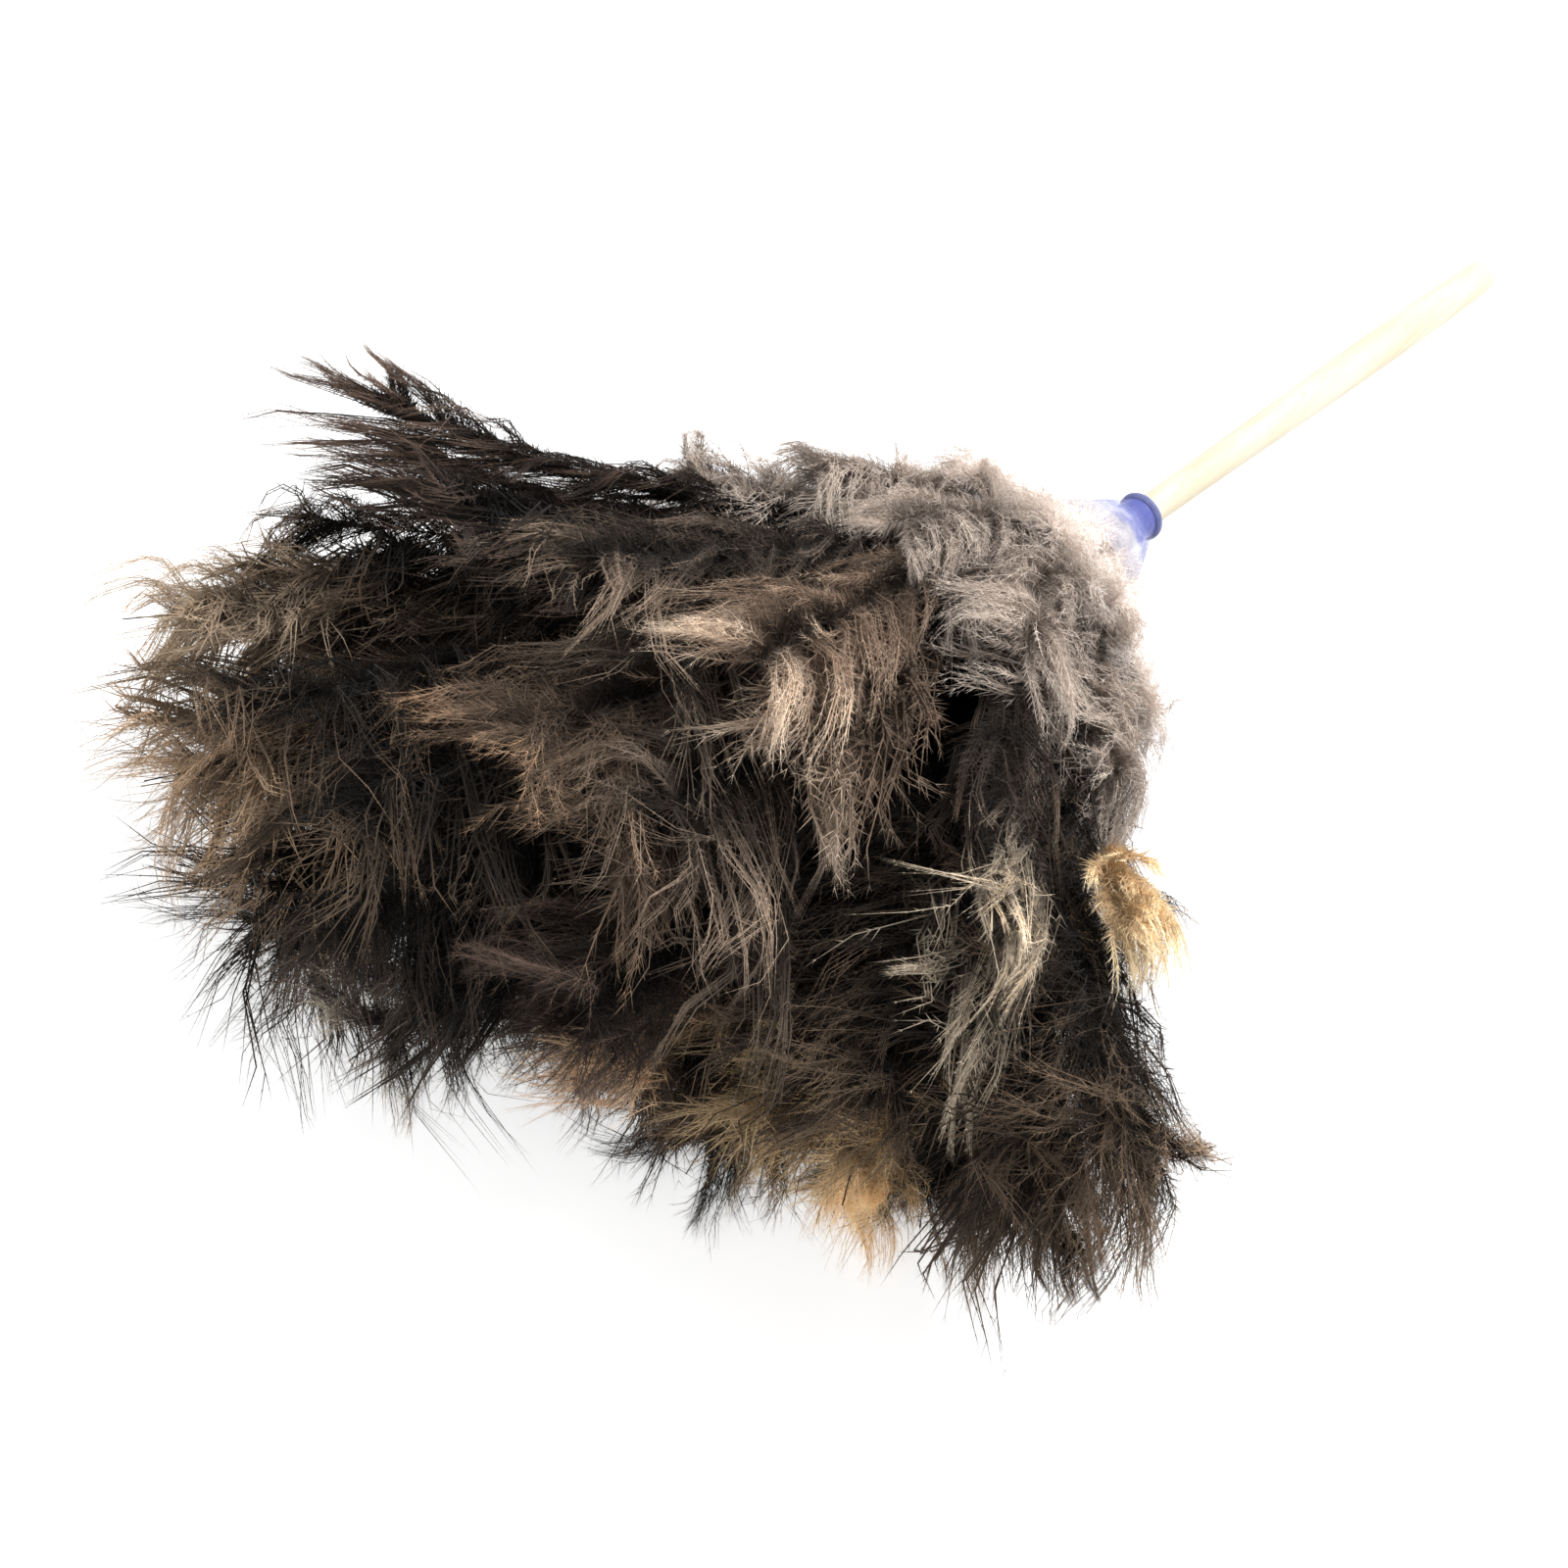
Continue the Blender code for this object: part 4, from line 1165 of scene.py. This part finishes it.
# How the barbs of each row lie. locks is how many barbs a lock holds, pull how strongly it gathers them and
# stray the share that it leaves. aim is the angle between a barb's end and the shaft, rise how far it climbs
# off the vane, and curl and wave how far it bends, all in degrees. drop, sway, width and fluff are shares.
# tousle is how far loose ends move.
LOOKS = {
    "short_plume": {
        "locks": (1, 2), "pull": 0.05, "stray": 0.5, "aim": (5, 64), "rise": (-45, 55), "curl": 70,
        "wave": 40, "drop": 0.08, "sway": 0.1, "width": 1.1, "fluff": 1.3, "tousle": 0.0026,
    },
    "middle_plume": {
        "locks": (2, 7), "pull": 0.4, "stray": 0.4, "aim": (4, 52), "rise": (-32, 32), "curl": 62,
        "wave": 30, "drop": 0.15, "sway": 0.12, "width": 1.12, "fluff": 1.2, "tousle": 0.0036,
    },
    "long_plume": {
        "locks": (3, 10), "pull": 0.5, "stray": 0.35, "aim": (3, 46), "rise": (-30, 26), "curl": 56,
        "wave": 26, "drop": 0.16, "sway": 0.16, "width": 1.15, "fluff": 1.2, "tousle": 0.0046,
    },
}
LOOKS["inner_plume"] = LOOKS["long_plume"]
LOOKS["core_plume"] = LOOKS["long_plume"]
# What most plumes share: the angle at which barbs leave the shaft, how far they may reach past its tip, the
# cosine of the widest angle at which they end there, what barbules lose of their length along a barb, how far
# the plume lies off its row, how far it is turned, in half sectors, how much of it is bare, and the barbs of
# the layer under it and how far its tone is painted darker, as shade
PLAIN = {
    "barbs": 1.0, "length": 1.0, "leave": (26, 58), "past": 1.03, "fan": 0.66, "taper": 1.35, "lift": 0.0,
    "turn": 0.0, "bare_share": 0.0, "under_barbs": 0.5, "under_shade_tone": 0.3,
}
SPIKY = {
    "locks": (7, 16), "pull": 0.8, "stray": 0.15, "aim": (2, 22), "rise": (-26, 4), "curl": 28, "drop": 0.05,
    "wave": 18, "length": 1.25, "tousle": 0.0034, "fluff": 1.0, "fan": 0.98, "past": 1.07,
}
STRANDS = {
    "locks": (5, 12), "pull": 0.85, "stray": 0.12, "aim": (5, 40), "rise": (-14, 24), "curl": 45, "drop": 0.2,
    "length": 1.25, "fluff": 0.9,
}
FULL = {"under_barbs": 0.9, "under_shade_tone": 0.4, "length": 1.15, "width": 1.3, "aim": (3, 56)}
TUFT = {
    "length": 0.8, "fluff": 1.6, "taper": 0.9, "pull": 0.25, "stray": 0.5, "fan": 0.55, "drop": 0.03,
    "aim": (2, 50), "tousle": 0.0026,
}
BROAD_TUFT = {**TUFT, "length": 1.05, "under_barbs": 0.9, "width": 1.1, "pull": 0.5, "aim": (2, 40)}
# Single plumes that the photograph shows lying in their own way
PLUME_LOOKS = {
    "middle_plume_09": {"drop": 0.05, "length": 1.1},
    "long_plume_01": {**TUFT, "length": 0.95, "under_barbs": 0.8},
    "long_plume_02": FULL,
    "long_plume_03": FULL,
    "long_plume_04": {
        **FULL, "length": 1.1, "width": 1.0, "drop": 0.25, "under_barbs": 1.2, "turn": -0.3, "rise": (-40, 8),
    },
    "long_plume_05": SPIKY,
    "long_plume_06": {**SPIKY, "rise": (-22, 6), "past": 1.04},
    "long_plume_08": {**TUFT, "length": 0.95, "turn": -0.35, "width": 0.9, "fluff": 1.2},
    "long_plume_09": {
        **STRANDS, "width": 0.7, "under_barbs": 0.8, "leave": (8, 30), "aim": (2, 18), "curl": 34,
        "fluff": 1.1,
    },
    "long_plume_10": BROAD_TUFT,
    "long_plume_11": {**TUFT, "length": 1.0, "under_barbs": 0.9},
    "long_plume_12": {
        **SPIKY, "locks": (14, 28), "stray": 0.25, "fluff": 1.5, "taper": 1.0, "past": 1.0, "length": 1.1,
    },
    "long_plume_13": BROAD_TUFT,
    "long_plume_14": {**TUFT, "length": 0.95, "under_barbs": 0.8},
    "inner_plume_02": FULL,
    "inner_plume_03": FULL,
    "inner_plume_04": {**FULL, "length": 1.1, "width": 1.1, "rise": (-10, 30), "drop": 0.0, "turn": 0.2},
    "inner_plume_05": {**TUFT, "length": 0.9},
    "inner_plume_06": {**STRANDS, "turn": -0.8},
    "inner_plume_08": {**TUFT, "under_barbs": 0.8},
    "core_plume_01": {**TUFT, "past": 1.0},
    "core_plume_03": {**TUFT, "length": 0.95, "past": 1.0},
    "core_plume_04": {**TUFT, "length": 0.95, "past": 1.02},
    "straw_plume_01": {
        "barbs": 0.4, "lift": 0.014, "aim": (2, 20), "bare_share": 0.82, "under_barbs": 0.1, "length": 0.55,
        "width": 0.5, "stray": 0.5,
    },
    "sand_plume_01": {
        **FULL, "barbs": 0.8, "lift": 0.018, "pull": 0.3, "stray": 0.5, "bare_share": 0.4, "width": 1.0,
    },
    "upper_plume_01": {**FULL, "barbs": 0.7, "bare_share": 0.3},
    "dark_plume_01": {**FULL, "barbs": 0.6, "lift": -0.004},
    "lower_plume_01": {**FULL, "barbs": 0.7},
    "gold_plume_01": {
        **TUFT, "barbs": 0.5, "lift": 0.008, "bare_share": 0.6, "aim": (2, 62), "fan": 0.45, "length": 0.7,
    },
    "down_plume_01": {"barbs": 0.8, "lift": 0.006},
}
# Loose plumes that lie over those of the rows: name, the row that they are shaped like, their place in it,
# and their length as a share
LOOSE_PLUMES = (
    ("straw_plume", "long_plume", 8.58, 0.82),
    ("sand_plume", "long_plume", 2.4, 1.08),
    ("upper_plume", "long_plume", 3.5, 0.98),
    ("dark_plume", "long_plume", 9.6, 0.92),
    ("lower_plume", "long_plume", 0.5, 1.0),
    ("gold_plume", "long_plume", 12.45, 0.94),
    ("down_plume", "short_plume", 6.9, 1.0),
)


def loose_row(rows, name, like, place, reach_share):
    row = dict(next(row for row in rows if row["name"] == like))
    row["name"] = name
    row["like"] = like
    row["turn_share"] += place
    row["reach_shares"] = (reach_share,)
    row["curl_shares"] = (1.0,)
    return row


def build_plumes(rows):
    """Lays all plumes, finds how open each place in the head is, and then makes their meshes."""
    materials = {}
    for name, colours in FEATHERS.items():
        colours = [srgb(*colour) for colour in colours]
        materials[name] = feather_material("feather_" + name, *colours, **FEATHER_SOFTNESS.get(name, {}))
    slots = {"down": "down_grey", "grey": "feather_grey", "dark": "feather_dark"}
    laid = []
    places = [(row, number) for row in rows for number in range(row["count"])]
    places += [(loose_row(rows, *loose), 0) for loose in LOOSE_PLUMES]
    for row, number in places:
        name = f"{row['name']}_{number + 1:02d}"
        look = {**PLAIN, **LOOKS[row.get("like", row["name"])], **PLUME_LOOKS.get(name, {})}
        look["phase"] = SWAY_PHASES[0] * number + SWAY_PHASES[1] * row["lean"]
        laid.append(lay_plume(row, number, look))
    layers = [layer for _, _, _, both in laid for layer in both]
    shares = opening_shares(np.concatenate([layer.points.reshape(-1, 3) for layer in layers]))
    ends = np.cumsum([layer.points.shape[0] * layer.points.shape[1] for layer in layers])
    for layer, part in zip(layers, np.split(shares, ends[:-1])):
        layer.opening = part.reshape(layer.points.shape[:2])
    for plume, look, rng, both in laid:
        kind = PLUME_FEATHERS.get(plume.name) or ROW_FEATHERS[plume.row["name"]]
        made = build_plume(plume, look, rng, both, materials[kind])
        slots.get(kind, "feather_brown")


# Handle, collar, skirt and bindings


def on_axis(reach, radius, angle):
    """A point round the duster's axis as it lies on the table."""
    point = Vector((-reach, radius * math.sin(angle), radius * math.cos(angle)))
    return Matrix.Rotation(REST_TILT, 3, "Y") @ point + ORIGIN


def mesh_of_rings(name, rings, capped=False):
    """Quads between closed rings of as many points each, with the first and last ring filled if capped."""
    bm = bmesh.new()
    rings = [[bm.verts.new(point) for point in ring] for ring in rings]
    for low, high in zip(rings, rings[1:]):
        for j in range(len(low)):
            after = (j + 1) % len(low)
            bm.faces.new((low[j], low[after], high[after], high[j]))
    if capped:
        bm.faces.new(rings[0])
        bm.faces.new(rings[-1])
    bmesh.ops.recalc_face_normals(bm, faces=bm.faces)
    mesh = bpy.data.meshes.new(name)
    bm.to_mesh(mesh)
    bm.free()
    return mesh


FILM_SIDES = 160
FILM_STEPS = 30
FILM_SHEET = 0.00022
FILM_FOLDS = (5, 9, 14, 23, 37)
FILM_FOLD_SHARES = (0.30, 0.28, 0.22, 0.13, 0.07)
FILM_FOLD_DEPTH = 0.0016
FOLD_TWIST = 0.25
FOLD_WANDER, FOLD_WANDERINGS = 0.8, 3
FOLD_POWER = 0.6
FOLD_LEVEL = 0.45  # of the depth, on which the folds swing
FOLD_START_SHARE = 0.08  # where the film leaves the cap
HEM = 0.0012  # how far the film's edge lies short of the solid's
HEM_WAVE, HEM_WAVES = 0.0011, 7


def film_ring(share, phases):
    """One ring of the film's inside, at a share of the way from the cap to the mouth."""
    start = RIM_LENGTH + GAP
    ring = []
    for j in range(FILM_SIDES):
        angle = 2 * math.pi * j / FILM_SIDES
        twist = angle + FOLD_TWIST * share
        folds = 0
        for count, weight, phase in zip(FILM_FOLDS, FILM_FOLD_SHARES, phases):
            wander = FOLD_WANDER * share * math.sin(FOLD_WANDERINGS * angle + phase)
            folds += weight * math.cos(count * twist + phase + wander)
        reach = start + (SKIRT_REACH - HEM - start) * share + HEM_WAVE * share * math.sin(HEM_WAVES * angle)
        depth = FILM_FOLD_DEPTH * share**FOLD_POWER * (FOLD_LEVEL + folds) * smooth(share / FOLD_START_SHARE)
        radius = float(skirt_inner_radius(reach)) + FILM_SHEET + depth
        ring.append(on_axis(reach, radius, angle))
    return ring


def build_skirt(material):
    """The film, drawn tight over the cap and creased into folds of unlike width towards its mouth."""
    phases = np.random.default_rng(SEED).uniform(0, 2 * math.pi, len(FILM_FOLDS))
    rings = [film_ring(k / FILM_STEPS, phases) for k in range(FILM_STEPS + 1)]
    made = placed("skirt_film_sheet", mesh_of_rings("skirt_film_sheet", rings), material)
    thick = made.modifiers.new("thickness", "SOLIDIFY")
    thick.thickness = FILM_SHEET
    thick.offset = 1.0
    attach(made, "root")
    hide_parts("feather_skirt")


TWINE_POINTS = 28
TWINE_SIDES = 8
TWINE_RADIUS_SHARE = 0.49


def build_binding(row, material):
    """A few turns of twine wound round one row of quills."""
    radius = row["binding_inner"] + TWINE_THICKNESS / 2
    strand = TWINE_THICKNESS * TWINE_RADIUS_SHARE
    rings = []
    for k in range(TWINE_POINTS * (TWINE_TURNS - 1) + 1):
        turn = k / TWINE_POINTS
        reach = row["binding_start"] + TWINE_THICKNESS * (turn + 0.5)
        ring = []
        for j in range(TWINE_SIDES):
            side = 2 * math.pi * j / TWINE_SIDES
            wide = radius + strand * math.cos(side)
            ring.append(on_axis(reach + strand * math.sin(side), wide, 2 * math.pi * turn))
        rings.append(ring)
    name = row["name"] + "_twine"
    made = placed(name, mesh_of_rings(name, rings, capped=True), material)
    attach(made, "root")
    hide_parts(row["name"] + "_binding")


def finish_node(name, material):
    thing = frame["nodes"][name]
    thing.data.materials.clear()
    thing.data.materials.append(material)


# Stage

FLOOR_SIZE = 8.0
FLOOR_GLOW = 0.62
FLOOR_COLOUR = (0.86, 0.86, 0.86, 1.0)
SKY_LIGHT = 0.36


def build_floor():
    bpy.ops.mesh.primitive_plane_add(size=FLOOR_SIZE, location=(0, 0, 0))
    floor = bpy.context.object
    floor.name = "floor"
    made, tree, shader = new_material("floor")
    tree.nodes.remove(shader)
    glow = node(tree, "ShaderNodeEmission")
    tree.links.new(sum_of(tree, "MULTIPLY", seen_directly(tree), FLOOR_GLOW), glow.inputs["Strength"])
    matte = node(tree, "ShaderNodeBsdfDiffuse")
    matte.inputs["Color"].default_value = FLOOR_COLOUR
    both = node(tree, "ShaderNodeAddShader")
    tree.links.new(glow.outputs["Emission"], both.inputs[0])
    tree.links.new(matte.outputs["BSDF"], both.inputs[1])
    tree.links.new(both.outputs["Shader"], tree.nodes["Material Output"].inputs["Surface"])
    floor.data.materials.append(made)


def build_world():
    world = bpy.data.worlds.new("studio")
    bpy.context.scene.world = world
    world.use_nodes = True
    tree = world.node_tree
    sky = tree.nodes["Background"]
    sky.inputs["Color"].default_value = (1.0, 1.0, 1.0, 1.0)
    tree.links.new(ranged(tree, seen_directly(tree), 0.0, 1.0, SKY_LIGHT, 1.0), sky.inputs["Strength"])


def build_lamp(name, offset, size, power):
    light = bpy.data.lights.new(name, "AREA")
    light.size = size
    light.energy = power
    lamp = bpy.data.objects.new(name, light)
    bpy.context.collection.objects.link(lamp)
    centre = (cad_low + cad_high) / 2
    lamp.location = centre + Vector(offset)
    lamp.rotation_euler = (-Vector(offset)).to_track_quat("-Z", "Y").to_euler()


def build_camera():
    """Looks along the photograph's line of sight. Returns the picture's directions ahead, right and up."""
    ahead = Vector((
        math.cos(CAMERA_DIP) * math.cos(CAMERA_TURN),
        math.cos(CAMERA_DIP) * math.sin(CAMERA_TURN),
        -math.sin(CAMERA_DIP),
    ))
    level = Vector((math.sin(CAMERA_TURN), -math.cos(CAMERA_TURN), 0.0))
    upright = level.cross(ahead)
    right = level * math.cos(CAMERA_ROLL) + upright * math.sin(CAMERA_ROLL)
    up = upright * math.cos(CAMERA_ROLL) - level * math.sin(CAMERA_ROLL)
    lens = bpy.data.cameras.new("camera")
    lens.lens = CAMERA_LENS
    camera = bpy.data.objects.new("camera", lens)
    bpy.context.collection.objects.link(camera)
    camera.location = ORIGIN + CAMERA_FROM_CAP
    camera.rotation_euler = Matrix((right, up, -ahead)).transposed().to_euler()
    bpy.context.scene.camera = camera
    return ahead, right, up


mount = next(item for item in frame["record"]["mounts"] if item["name"] == "handle_butt")
AXIS = Vector(mount["axis"])  # from the head to the butt
ORIGIN = Vector(mount["pos_m"]) - AXIS * HANDLE_EXPOSED  # the cap's outer face, on the axis
REST_TILT = math.asin(-AXIS.z)
TILT = np.array(Matrix.Rotation(REST_TILT, 3, "Y"))

bpy.context.scene.view_settings.view_transform = "Standard"
ahead, right, up = build_camera()
build_floor()
build_world()
build_lamp("key", 0.9 * up + 0.75 * right - 0.9 * ahead, size=0.9, power=22.0)
build_lamp("fill", -0.9 * right - 0.9 * ahead + 0.1 * up, size=1.2, power=5.0)

rows = row_layout()
build_plumes(rows)
build_skirt(film_material())
twine = twine_material()
for row in rows:
    build_binding(row, twine)
finish_node("handle", wood_material())
finish_node("collar_cap", cap_material())
